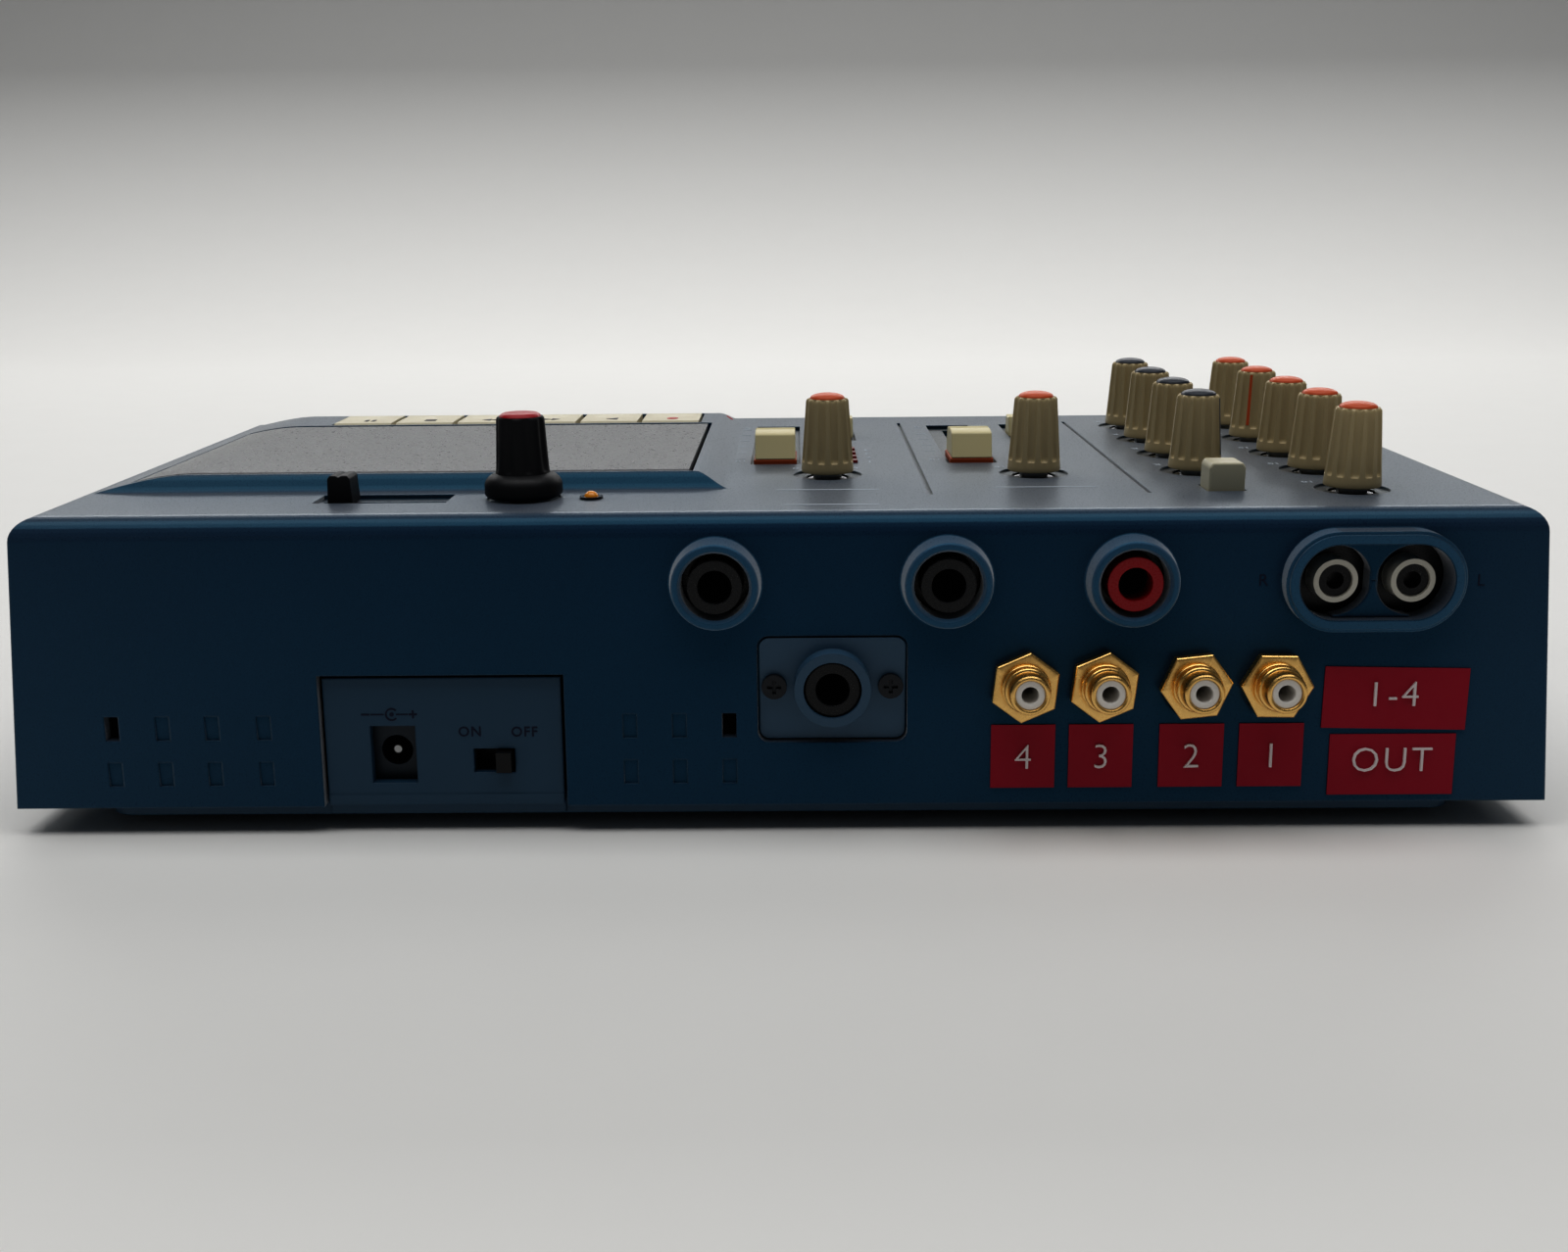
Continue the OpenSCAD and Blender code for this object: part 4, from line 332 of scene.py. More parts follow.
# %% Masked colours of the sockets and lamps
paint(socket_black, inside(socket_black, x=(-76, -58), y=(97.2, 106), z=(40, 58)), tone(150, 14, 26))
power_jack, power_hole_r, power_pin_r = (74.1, 0, 15.7), 2.98, 0.75
jack_face = finish("jack_face", tone(40, 50, 60), 0.4)
paint(jack_face, near_line(jack_face, power_jack, along_y, power_hole_r), tone(14, 14, 16))
paint(jack_face, near_line(jack_face, power_jack, along_y, power_pin_r), tone(226, 226, 224))
line_ring_r, line_hole_r = 4.2, 3.05
line_metal = finish("line_metal", tone(30, 31, 34), 0.3, edge=0.1)
for centre in line_out_centres:
    paint(line_metal, near_line(line_metal, centre, along_y, line_ring_r), tone(200, 197, 186))
    paint(line_metal, near_line(line_metal, centre, along_y, line_hole_r), tone(14, 14, 17))
power_lamp, power_lamp_r = (36.5, at_d(14.2), 0), 1.53
paint(lamp_lens, near_line(lamp_lens, power_lamp, along_z, power_lamp_r), tone(232, 150, 40))
paint(lamp_lens, inside(lamp_lens, x=(-20, -14), y=(at_d(80), at_d(54)), z=(50, 64)), tone(130, 20, 18))
meter_y, meter_z, red_from_x = (at_d(170), at_d(146)), (53.22, 54), 19.6
paint(meter_glass, inside(meter_glass, x=(-20, red_from_x), y=meter_y, z=meter_z), tone(60, 150, 60))
paint(meter_glass, inside(meter_glass, x=(red_from_x, 40), y=meter_y, z=meter_z), tone(190, 44, 30))
print("masked finishes done")

# %% Dress the solids
dress = {
    "top_case": case_blue, "bottom_case": tray_blue, "rubber_feet": foot_rubber, "case_screws": screw_black,
    "cassette_well": well_black, "deck_chassis": plated_steel, "deck_motor": plated_steel,
    "drive_belt": foot_rubber, "circuit_boards": board_green, "knob_potentiometers": plated_steel,
    "fader_tracks": plated_steel, "switch_bodies": black_plastic, "quarter_inch_sockets": socket_black,
    "socket_plate": plate_blue, "line_out_sockets": line_metal,
    "stuck_labels": label_red, "power_socket": jack_face, "indicator_lamps": lamp_lens,
    "level_meter": meter_glass, "counter_frame": black_plastic, "power_switch": black_plastic,
    "cassette_lid": black_plastic, "lid_window": lid_smoke, "motor_pulley": turned_brass,
    "capstan_flywheel": polished_steel, "supply_spindle": spindle_white, "takeup_spindle": spindle_white,
    "pinch_arm": plated_steel, "pinch_roller": foot_rubber, "head_carriage": polished_steel,
    "counter_wheel_1": wheel_black, "counter_wheel_10": wheel_black, "counter_wheel_100": wheel_black,
    "counter_reset": black_plastic, "record_key": key_cream, "play_key": key_cream, "rewind_key": key_cream,
    "forward_key": key_cream, "stop_key": key_cream, "pause_key": key_cream,
}
for node_name, material in dress.items():
    solid = solids[node_name]
    if not solid.material_slots:
        solid.data.materials.append(None)
    for material_slot in solid.material_slots:
        material_slot.link = "OBJECT"
        material_slot.material = material
print("dressed", len(dress), "solids; to be replaced:", sorted(set(solids) - set(dress)))

# %% [markdown]
# ## Building new pieces
# The knobs, caps and gold sockets are turned shapes, so they are stacks of rings: each ring is one height, and
# its radius may change round the ring, which gives flutes and hexagons from the same code. A ring stack can be
# closed at its ends with fans, or joined into a loop where the piece has a hole. The caps of the sliders, the
# switches and the mono button are outlines pushed sideways, and the Bevel modifier rounds their edges.


# %% Piece helpers
def piece(name, points, faces, body, material, sharp=35.0, stands_for=()):
    mesh = bpy.data.meshes.new(name)
    mesh.from_pydata([Vector(p) * MM for p in points], [], faces)
    work = bmesh.new()
    work.from_mesh(mesh)
    bmesh.ops.recalc_face_normals(work, faces=work.faces)
    work.to_mesh(mesh)
    work.free()
    mesh.materials.append(material)
    mesh.shade_smooth()
    mesh.set_sharp_from_angle(angle=math.radians(sharp))
    made = bpy.data.objects.new(name, mesh)
    bpy.context.scene.collection.objects.link(made)
    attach(made, body)
    if stands_for:
        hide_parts(*stands_for)
    return made


def stack(rings, loop=False):
    count = len(rings[0])
    points = [p for ring in rings for p in ring]
    faces = []
    for k in range(len(rings) if loop else len(rings) - 1):
        low, high = k * count, (k + 1) % len(rings) * count
        faces += [(low + i, low + (i + 1) % count, high + (i + 1) % count, high + i) for i in range(count)]
    if not loop:
        for k in (0, len(rings) - 1):
            points.append(sum((Vector(p) for p in rings[k]), Vector()) / count)
            faces += [(k * count + i, k * count + (i + 1) % count, len(points) - 1) for i in range(count)]
    return points, faces


def even_angles(count):
    return [2 * math.pi * i / count for i in range(count)]


def arc(centre, radii, degrees):
    """Points of (a, b) on a round or oval arc, one at each of the angles."""
    (a, b), (wide, high) = centre, radii
    return [(a + wide * math.cos(math.radians(t)), b + high * math.sin(math.radians(t))) for t in degrees]


def turned(profile, centre, angles, along="Z", tilt=0.0):
    """Rings for a profile of (radius, height); a radius may be a function of the angle."""
    rings = []
    forth, aside = math.cos(tilt), math.sin(tilt)
    for radius, height in profile:
        ring = []
        for angle in angles:
            r = radius(angle) if callable(radius) else radius
            across, over = r * math.cos(angle), r * math.sin(angle)
            shift = (across, over, height)
            if along == "Y":
                shift = (across, height * forth - over * aside, height * aside + over * forth)
            ring.append(tuple(c + s for c, s in zip(centre, shift)))
        rings.append(ring)
    return rings


def lathed(name, profile, centre, angles, body, material, sharp, stands_for=(), loop=False, along="Z",
           tilt=0.0):
    """A turned piece: solid with closed ends, or a loop round a hole."""
    points, faces = stack(turned(profile, centre, angles, along, tilt), loop)
    piece(name, points, faces, body, material, sharp, stands_for)


def soften(made, width, segments):
    bevel = made.modifiers.new("soft_edges", "BEVEL")
    bevel.width = width * MM
    bevel.segments = segments
    bevel.limit_method = "ANGLE"
    bevel.angle_limit = math.radians(28)
    bevel.harden_normals = True


def prism(bottom, top):
    """Points and faces between two rings of the same count, with flat ends."""
    count = len(bottom)
    faces = [(i, (i + 1) % count, count + (i + 1) % count, count + i) for i in range(count)]
    faces += [tuple(range(count)), tuple(range(count, 2 * count))]
    return bottom + top, faces


def moulded(name, outline, low, high, along, body, material, edge, segments=2, sharp=35.0, stands_for=()):
    """An outline of (a, b) pushed from low to high along X or Y, with rounded edges."""
    ends = [[(depth, a, b) if along == "X" else (a, depth, b) for a, b in outline] for depth in (low, high)]
    points, faces = prism(*ends)
    soften(piece(name, points, faces, body, material, sharp, stands_for), edge, segments)


def rectangle(a0, a1, b0, b1):
    return [(a0, b0), (a1, b0), (a1, b1), (a0, b1)]


print("helpers ready")

# %% [markdown]
# ## Round wells of the line output
# The two line sockets sit in round wells that nearly touch. The solid's opening runs straight between them, so
# a web of the case's plastic fills the space above and below, with the two wells' curves as its edges.

# %% Webs between the wells
well_r, web_reach = 6.7, 7.15
web_low, web_high = face_y(jack_z) - 2.0, face_y(jack_z) + 1.4
half_web = arc((-line_out_half, 0), (well_r, well_r), range(90, -1, -6))
half_web += arc((line_out_half, 0), (well_r, well_r), range(180, 89, -6))
half_web += [(line_out_half, web_reach), (-line_out_half, web_reach)]
for name, way in (("upper", 1), ("lower", -1)):
    outline = [(line_out_x + a, jack_z + way * b) for a, b in half_web]
    moulded(f"line_out_web_{name}", outline, web_low, web_high, "Y", "recorder_case", case_blue, 0.3,
            sharp=20)
print("webs stand in the opening at z", jack_z)

# %% [markdown]
# ## Mixer knobs
# A mixer knob is a tall fluted cone of cream plastic with a coloured cap pressed in its top. Twelve grooves run
# down to a plain band and end round, as the mould's cutters do. The ring's angles are packed where a groove is,
# which keeps the grid light and the grooves crisp.

# %% Knob sizes
knob_r, knob_top_r, knob_h, knob_band = 5.6, 4.5, 15.6, 2.2
wall_h = knob_h - 0.5
knob_bottom = panel_z + 0.7
groove_r, groove_out, flutes = 0.9, 0.25, 12
flute_step = 360 / flutes
groove_side = [2.9, 5.6, 7.8, 9.2, 10.4, 11.6]
groove_turns = [-13.4] + [-a for a in groove_side[::-1]] + [0] + groove_side
knob_angles = []
for flute in range(flutes):
    middle = math.radians((flute + 0.5) * flute_step)
    knob_angles += [middle + math.radians(a) for a in groove_turns]


def wall_radius(height):
    """Radius of the plain cone, before its grooves, at a height above its foot."""
    return knob_r + (knob_top_r - knob_r) * height / wall_h


def groove_cut(angle, radius, out):
    """Radius left at an angle when a round cutter runs down each groove."""
    off = (math.degrees(angle) - flute_step / 2) % flute_step
    off = math.radians(min(off, flute_step - off))
    side = (radius + out) * math.sin(off)
    if side >= groove_r:
        return radius
    return min(radius, (radius + out) * math.cos(off) - math.sqrt(groove_r**2 - side**2))


def shell_radius(height, drop=0.0):
    """Radius function of the fluted shell at a height above its foot, less a drop."""
    rise = min(1.0, max(0.0, (height - knob_band) / 0.9))
    out = groove_out + (groove_r - groove_out) * (1 - math.sqrt(1 - (1 - rise) ** 2))
    return lambda angle: groove_cut(angle, wall_radius(height), out) - drop


print("angles round a knob:", len(knob_angles))

# %% Profiles of a knob
shell_heights = [0.35, 1.2, knob_band, 2.26, 2.36, 2.5, 2.7, 2.95, 3.2, 5, 7, 9, 11, 13, 14.6, wall_h]
shell = [(knob_r - 0.35, 0.0), (knob_r - 0.1, 0.1)] + [(shell_radius(h), h) for h in shell_heights]
shell += [(shell_radius(wall_h, drop), knob_h - below) for drop, below in ((0.1, 0.3), (0.28, 0.08), (0.5, 0))]
shell += [(3.78, knob_h), (3.75, knob_h - 2.0), (3.06, knob_h - 2.0), (3.06, 0.0)]
cap_r, cap_rise, cap_edge_h = 3.62, 1.05, knob_h + 0.12
cap = [(3.55, knob_h - 1.9), (3.7, knob_h - 1.8), (3.7, knob_h - 0.05), (cap_r, cap_edge_h)]
cap += arc((0, cap_edge_h), (cap_r, cap_rise), range(10, 90, 10)) + [(0.12, knob_h + 1.18)]
shaft_r = 3.0
shaft = [(2.7, -13.6), (shaft_r, -13.3), (shaft_r, -6.0), (2.8, -5.8), (2.8, -5.2), (shaft_r, -5.0),
         (shaft_r, knob_h - 3.4), (2.7, knob_h - 3.1)]
rib_turns, usual_pointer = [-3.8, -1.9, 0, 1.9, 3.8], 150
print("rings in a shell:", len(shell))


# %% One knob
def knob_pointer(name, centre, pointer, material):
    """A rib between two grooves in the cap's colour, at an angle from the back of the panel."""
    rings = []
    for height in (knob_band + 0.9, 6, 10, knob_h - 0.6):
        plain = wall_radius(height)
        rib = [(plain + 0.05, a) for a in rib_turns] + [(plain - 0.15, a) for a in rib_turns[::-1]]
        angles = [math.radians(90 + pointer) + math.radians(a) for _, a in rib]
        rings.append([(centre[0] + r * math.cos(angle), centre[1] + r * math.sin(angle), centre[2] + height)
                      for (r, _), angle in zip(rib, angles)])
    points, faces = stack(rings)
    piece(f"{name}_pointer", points, faces, name, material, 50)


def mixer_knob(name, x, d, cap_material, pointer=usual_pointer):
    centre = (x, at_d(d), knob_bottom)
    lathed(f"{name}_shell", shell, centre, knob_angles, name, knob_tan, 32, (name,), loop=True)
    lathed(f"{name}_cap", cap, centre, even_angles(48), name, cap_material, 40)
    lathed(f"{name}_shaft", shaft, centre, even_angles(32), name, plated_steel, 30)
    knob_pointer(name, centre, pointer, cap_material)


# %% All mixer knobs
level_x, pan_x = -115.1, -89.5
trim_x, trim_d = (-54.9, -10.8), 40.6
row_d = [18.2 + 23.7 * row for row in range(5)]
mixer_knob("phones_level_knob", level_x, row_d[0], cap_orange)
for row in range(1, 5):
    mixer_knob(f"cue_level_knob_{row}", level_x, row_d[row], cap_orange, -30 if row == 3 else usual_pointer)
    mixer_knob(f"cue_pan_knob_{row}", pan_x, row_d[row], cap_grey, 60 if row == 1 else usual_pointer)
for number, x in enumerate(trim_x, 1):
    mixer_knob(f"trim_knob_{number}", x, trim_d, cap_orange)

# %% [markdown]
# ## The black level knob
# The output level has a softer, wider knob: a rounded skirt, a fluted barrel and a red cap. Its grid follows
# the same idea, with eight shallow hollows instead of grooves.

# %% Black level knob
line_level_x, line_level_d = 50.1, 15.8
line_centre = (line_level_x, at_d(line_level_d), knob_bottom - 0.3)
hollows, red_cap_h = 8, 16.5


def hollow(radius, depth):
    return lambda angle: radius - depth * (0.5 + 0.5 * math.cos(hollows * angle + math.pi)) ** 2


grip = [(3.1, 0.0), (7.1, 0.0)]
grip += arc((6.8, 0.9), (0.9, 0.9), range(-70, 1, 14)) + arc((5.1, 2.0), (2.6, 2.6), range(10, 76, 13))
grip += [(5.55, 4.62), (5.35, 4.68), (5.3, 4.9), (hollow(5.28, 0.1), 5.1), (hollow(5.25, 0.32), 5.5)]
grip += [(hollow(5.1, 0.42), 8), (hollow(4.95, 0.42), 11), (hollow(4.76, 0.4), 15), (hollow(4.68, 0.3), 15.5)]
grip += [(4.4, 15.8), (4.16, 15.8), (4.16, 13.8), (3.1, 13.8)]
red_cap = [(4.0, 13.9), (4.1, 14.0), (4.1, 15.85), (3.95, 16.1), (3.55, 16.38), (3.3, 16.48), (2.2, red_cap_h),
           (0.1, red_cap_h)]
line_shaft = [(2.7, -13.3), (shaft_r, -13.0), (shaft_r, -4.2), (2.8, -4.0), (2.8, -3.6), (shaft_r, -3.4),
              (shaft_r, 12.1), (2.8, 12.3)]
lathed("line_level_knob_grip", grip, line_centre, even_angles(96), "line_level_knob", knob_rubber, 35,
       ("line_level_knob",), loop=True)
lathed("line_level_knob_cap", red_cap, line_centre, even_angles(64), "line_level_knob", cap_red, 30)
lathed("line_level_knob_shaft", line_shaft, line_centre, even_angles(32), "line_level_knob", plated_steel,
       30)
print("black knob stands", round(line_centre[2] + red_cap_h - panel_z, 1), "mm above the panel")

# %% [markdown]
# ## Faders and switches
# A fader cap is a wedge with a fine ridge in its finger hollow, on a brick red base that fills the slot. The
# outline is drawn from the side and pushed across, then the Bevel modifier rounds every edge like a mould does.


# %% Fader caps
cap_foot_z, stem_foot_z = 61.35, 53.6
fader_x = (-43.3, 0.6)


def fader(name, x):
    back, length, lip_z, top = at_d(55) - 0.6, 13.5, cap_foot_z + 1.6, 69.0
    foot = rectangle(back - length, back, cap_foot_z, lip_z)
    moulded(f"{name}_base", foot, x - 4.8, x + 4.8, "X", name, fader_brick, 0.3)
    side = [(0, lip_z), (-1.6, top - 0.7), (-2.3, top - 0.4), (-5.55, top), (-6.35, top - 0.7), (-7.15, top - 0.7),
            (-7.95, top), (-11.2, top - 0.4), (-11.9, top - 0.7), (-length, lip_z)]
    moulded(f"{name}_cap", [(back + a, b) for a, b in side], x - 4.5, x + 4.5, "X", name, fader_cream,
            0.28, 3, 30, (name,))
    stem = rectangle(back - 9.25, back - 4.25, stem_foot_z, cap_foot_z)
    moulded(f"{name}_stem", stem, x - 1.2, x + 1.2, "X", name, plated_steel, 0.2)


for number, x in enumerate(fader_x, 1):
    fader(f"input_fader_{number}", x)
print("faders at x", fader_x)


# %% Track switches
def track_switch(name, x):
    back = at_d(91 + 8.5)
    side = [(0, 0), (-0.55, 3.6), (-1, 5), (-2.6, 4.6), (-3.5, 4.4), (-4.4, 4.6), (-6, 5), (-6.45, 3.6), (-7, 0)]
    moulded(f"{name}_cap", [(back + a, cap_foot_z + b) for a, b in side], x - 2.5, x + 2.5, "X", name, fader_cream,
            0.25, 3, 30, (name,))
    stem = rectangle(back - 5, back - 2, stem_foot_z, cap_foot_z)
    moulded(f"{name}_stem", stem, x - 0.8, x + 0.8, "X", name, plated_steel, 0.15)


track_switch("track_switch_1", -59.7)
track_switch("track_switch_2", -15.7)

# %% Pitch slider
pitch_x, pitch_y, pitch_z = 86.0, at_d(15.2), 61.4
side = [(-2.5, 0), (2.5, 0), (2.2, 5.2), (1.7, 5.8), (0.5, 5.8), (0.2, 5.5), (-0.2, 5.5), (-0.5, 5.8), (-1.7, 5.8),
        (-2.2, 5.2)]
moulded("pitch_slider_cap", [(pitch_x + a, pitch_z + b) for a, b in side], pitch_y - 3, pitch_y + 3, "Y",
        "pitch_slider", knob_rubber, 0.25, 3, 30, ("pitch_slider",))
stem = rectangle(pitch_x - 1.5, pitch_x + 1.5, stem_foot_z, pitch_z)
moulded("pitch_slider_stem", stem, pitch_y - 0.9, pitch_y + 0.9, "Y", "pitch_slider", plated_steel,
        0.15)

# %% Mono button
mono_x, mono_y, mono_half, mono_foot_z, mono_top = -89.9, at_d(20.5), 3.6, 54.6, 67.6
side = [(-mono_half, mono_foot_z), (mono_half, mono_foot_z), (mono_half, mono_top - 0.9), (3.0, mono_top),
        (-3.0, mono_top), (-mono_half, mono_top - 0.9)]
moulded("mono_button_cap", [(mono_x + a, b) for a, b in side], mono_y - mono_half, mono_y + mono_half, "Y",
        "mono_button", button_cream, 0.45, 4, 30, ("mono_button",))
print("mono button stands", round(mono_top - panel_z, 1), "mm above the panel")

# %% [markdown]
# ## Gold phono sockets
# Each gold socket is a turned barrel held by a thin hexagon nut. It stands square to the leaning back face, so
# every ring is tilted by the face's lean. The nut's rings follow a hexagon, and the first and last of them come
# in a little, which gives the small chamfer that catches the light along its edges.

# %% Gold sockets
gold_z = panel_z - 33
gold_x = [-94.7, -79.5, -62.2, -47.3]
nut_turns = [-1, 6, 23, 23.5]
nut_flat_r, barrel_reach = 5.95, 9.1
washer = [(4.0, 0.05), (5.45, 0.05), (5.6, 0.2), (5.6, 0.7), (5.45, 0.85), (4.0, 0.85)]
barrel = [(2.82, -8.3), (3.75, -8.3), (3.9, -8.1), (3.9, 2.9), (4.5, 2.95), (4.6, 3.1), (4.6, 3.5), (4.45, 3.65),
          (4.05, 3.7), (4.0, 3.8), (4.0, 4.25), (4.1, 4.35), (4.3, 4.4), (4.35, 4.5), (4.35, 5.3), (4.2, 5.5),
          (3.85, 5.6), (3.8, 5.7), (3.8, 8.5), (3.7, 8.85), (3.45, 9.05), (3.2, barrel_reach), (2.95, 9.0),
          (2.82, 8.8)]
ring = [(3.92, -4.75), (5.8, -4.75), (5.95, -4.6), (5.95, -2.9), (5.8, -2.75), (3.92, -2.75)]
insulator = [(2.8, -6.8), (2.8, 8.5), (2.68, 8.62), (1.72, 8.62), (1.6, 8.5), (1.6, -3.8)]


def hexagon(turn_deg, cut):
    def radius(angle):
        off = (math.degrees(angle) + turn_deg) % 60
        return nut_flat_r / math.cos(math.radians(off - 30)) - cut
    return radius


for number, (x, nut_turn) in enumerate(zip(gold_x, nut_turns), 1):
    centre = (x, face_y(gold_z), gold_z)
    cuts = ((0.15, 0.85), (0, 1.0), (0, 2.8), (0.22, 2.98), (0.5, 3.05))
    nut = [(5.0, 0.85)] + [(hexagon(nut_turn, cut), height) for cut, height in cuts] + [(4.3, 2.9)]
    for name, profile, count in (("nut", nut, 360), ("washer", washer, 64), ("barrel", barrel, 64), ("ring", ring, 48)):
        stands_for = ("gold_sockets",) if (name, number) == ("barrel", 1) else ()
        lathed(f"gold_socket_{name}_{number}", profile, centre, even_angles(count), "recorder_case", gold_plating,
               24, stands_for, loop=True, along="Y", tilt=lean)
    stands_for = ("socket_insulators",) if number == 1 else ()
    lathed(f"gold_socket_insulator_{number}", insulator, centre, even_angles(48), "recorder_case", insulator_white,
           24, stands_for, along="Y", tilt=lean)
print("gold sockets reach y", round(face_y(gold_z) + barrel_reach, 1))

# %% [markdown]
# ## Printed and raised characters
# The case carries a few plain numbers and marks. Blender's own font is turned into a mesh and laid on its
# surface as a thin skin, because a print has to follow the part that carries it when that part moves.


# %% Lettering helper
print_thick, print_sink = 0.06, -0.02


def text_mesh(name, text, fat):
    """Corners and faces of a text made with Blender's own font, and its middle and height."""
    curve = bpy.data.curves.new(name, "FONT")
    curve.body = text
    curve.space_character = 1.12
    curve.align_x = "CENTER"
    curve.extrude = 0.5
    curve.offset = fat
    curve.resolution_u = 3
    temporary = bpy.data.objects.new(name + "_text", curve)
    bpy.context.scene.collection.objects.link(temporary)
    bpy.context.view_layer.update()
    mesh = bpy.data.meshes.new_from_object(temporary.evaluated_get(bpy.context.evaluated_depsgraph_get()))
    bpy.data.objects.remove(temporary)
    corners = [v.co.copy() for v in mesh.vertices]
    low = Vector([min(c[i] for c in corners) for i in range(3)])
    high = Vector([max(c[i] for c in corners) for i in range(3)])
    return corners, [tuple(p.vertices) for p in mesh.polygons], (low + high) / 2, high.y - low.y


def lettering(name, text, height, centre, right, up, material, slot_name, thick=print_thick, fat=0.0, round_edge=0.0):
    corners, faces, middle, drawn_height = text_mesh(name, text, fat)
    scale = height / drawn_height
    right, up = Vector(right).normalized(), Vector(up).normalized()
    out = right.cross(up)
    points = [Vector(centre) + right * (c.x - middle.x) * scale + up * (c.y - middle.y) * scale
              + out * (thick if c.z > 0 else print_sink) for c in corners]
    made = piece(name, points, faces, "recorder_case", material, 40)
    if round_edge:
        soften(made, round_edge, 2)
    return made


def face_lettering(name, text, height, x, z, material, slot_name, out=0.0, **shape):
    """Text on the leaning back face, read from behind the recorder."""
    centre = Vector((x, face_y(z), z)) + face_out * out
    lettering(name, text, height, centre, (-1, 0, 0), face_up, material, slot_name, **shape)


def panel_lettering(name, text, height, x, d):
    """Text on the flat panel, read from the front."""
    lettering(name, text, height, (x, at_d(d), panel_z), (1, 0, 0), (0, 1, 0), print_white, "case_blue")


print("lettering ready")

# %% Characters on the back
label_text_h, gold_label_z, pair_x = 4.7, panel_z - 47, -117.9
raised = {"out": 0.3, "thick": 0.45, "fat": -0.014, "round_edge": 0.08}
for number, x in zip("1234", gold_x):
    face_lettering(f"label_number_{number}", number, label_text_h, x, gold_label_z, label_white, "label_red", **raised)
face_lettering("label_pair_upper", "1-4", label_text_h, pair_x, 26.9, label_white, "label_red", **raised)
face_lettering("label_pair_lower", "OUT", label_text_h, pair_x, 14.0, label_white, "label_red", **raised)
face_lettering("mark_right", "R", 2.2, -91.9, 48.9, print_blue, "case_blue")
face_lettering("mark_left", "L", 2.2, -132.6, 48.6, print_blue, "case_blue")
switch_text = {"out": -0.98, "fat": 0.012}
face_lettering("mark_on", "ON", 2.0, 59.2, 20.3, print_blue, "tray_blue", **switch_text)
face_lettering("mark_off", "OFF", 2.0, 48.6, 20.2, print_blue, "tray_blue", **switch_text)
print("characters on the back done")


# %% Flat printed shapes
def flat_print(name, outline, material, origin, body="recorder_case", right=(1, 0, 0), up=(0, 1, 0)):
    """A thin printed shape: an outline of (a, b) along right and up from the origin."""
    right, up = Vector(right).normalized(), Vector(up).normalized()
    out = right.cross(up)
    ends = [[Vector(origin) + right * a + up * b + out * h for a, b in outline] for h in (print_sink, print_thick)]
    points, faces = prism(*ends)
    piece(name, points, faces, body, material, 30)


def panel_print(name, outline, x, d):
    flat_print(name, outline, print_white, (x, at_d(d), panel_z))


def bar(width, height, cx=0.0):
    return rectangle(cx - width / 2, cx + width / 2, -height / 2, height / 2)


def disc(radius):
    return [(radius * math.cos(a), radius * math.sin(a)) for a in even_angles(24)]


bars = (("print_bar_1", 0, -20.9, 21.7), ("print_bar_2", -1.2, -20.1, 5.3), ("print_bar_3", -44.1, -65.3, 23))
for name, x0, x1, d in bars:
    panel_print(name, bar(abs(x1 - x0), 0.5), (x0 + x1) / 2, d)
for i in range(4):
    panel_lettering(f"track_number_{i + 1}", str(i + 1), 2.0, -20.6, 57.3 + i * 5.9)
deck_side_slope = 0.6355
flat_print("record_dot", disc(1.0), print_red, (13.5, at_d(121), 63.97), right=(1, 0, deck_side_slope))
print("printed bars and numbers done")

# %% [markdown]
# ## Dial numbers
# Each level knob turns from 0 at seven o'clock to 10 at five o'clock, and a pan knob from L to R. The small
# numbers sit on the flat panel beside the knob's foot, where the user looks down on them.

# %% Dial numbers
dial_text_h, dial_low_x, dial_high_x, dial_d, pan_text_x = 1.8, 6.2, 6.4, 8.2, 6.2
levels = [("phones_level", level_x, row_d[0])] + [(f"cue_level_{r}", level_x, row_d[r]) for r in range(1, 5)]
levels += [(f"trim_{number}", x, trim_d) for number, x in enumerate(trim_x, 1)]
levels += [("line_level", line_level_x, line_level_d)]
for name, x, d in levels:
    panel_lettering(f"{name}_low", "0", dial_text_h, x - dial_low_x, d + dial_d)
    panel_lettering(f"{name}_high", "10", dial_text_h, x + dial_high_x, d + dial_d)
for r in range(1, 5):
    panel_lettering(f"cue_pan_{r}_low", "L", dial_text_h, pan_x - pan_text_x, row_d[r] + dial_d)
    panel_lettering(f"cue_pan_{r}_high", "R", dial_text_h, pan_x + pan_text_x, row_d[r] + dial_d)
print("dial numbers:", 2 * len(levels) + 8)

# %% Fader scales
scale_x, tick_d, tick_step, ticks = 8.0, 63, 9.6, 6
for index, x in enumerate(fader_x, 1):
    for step in range(ticks):
        panel_print(f"fader_{index}_tick_{step}", bar(2.4, 0.35), x + scale_x, tick_d + step * tick_step)
    panel_lettering(f"fader_{index}_high", "10", dial_text_h, x + scale_x, 59.6)
    panel_lettering(f"fader_{index}_low", "0", dial_text_h, x + scale_x, 114.4)
print("ticks beside each fader:", ticks)

# %% [markdown]
# ## Signs on the transport keys
# A key shows what it does with the usual signs: a disc, arrows, a square and two bars. They lie in the key's
# finger hollow and ride on the key, so each goes down with it.

# %% Key signs
first_key_x, key_step, key_middle = 20.6, 15.6, (7.2, 7.8)
key_y = at_d(103.2 + key_middle[1])
hollow_z = 65.6 - 0.36


def arrow(width, height, cx, way=1):
    back, tip = cx - way * width / 2, cx + way * width / 2
    return [(back, -height / 2), (tip, 0), (back, height / 2)][::way]


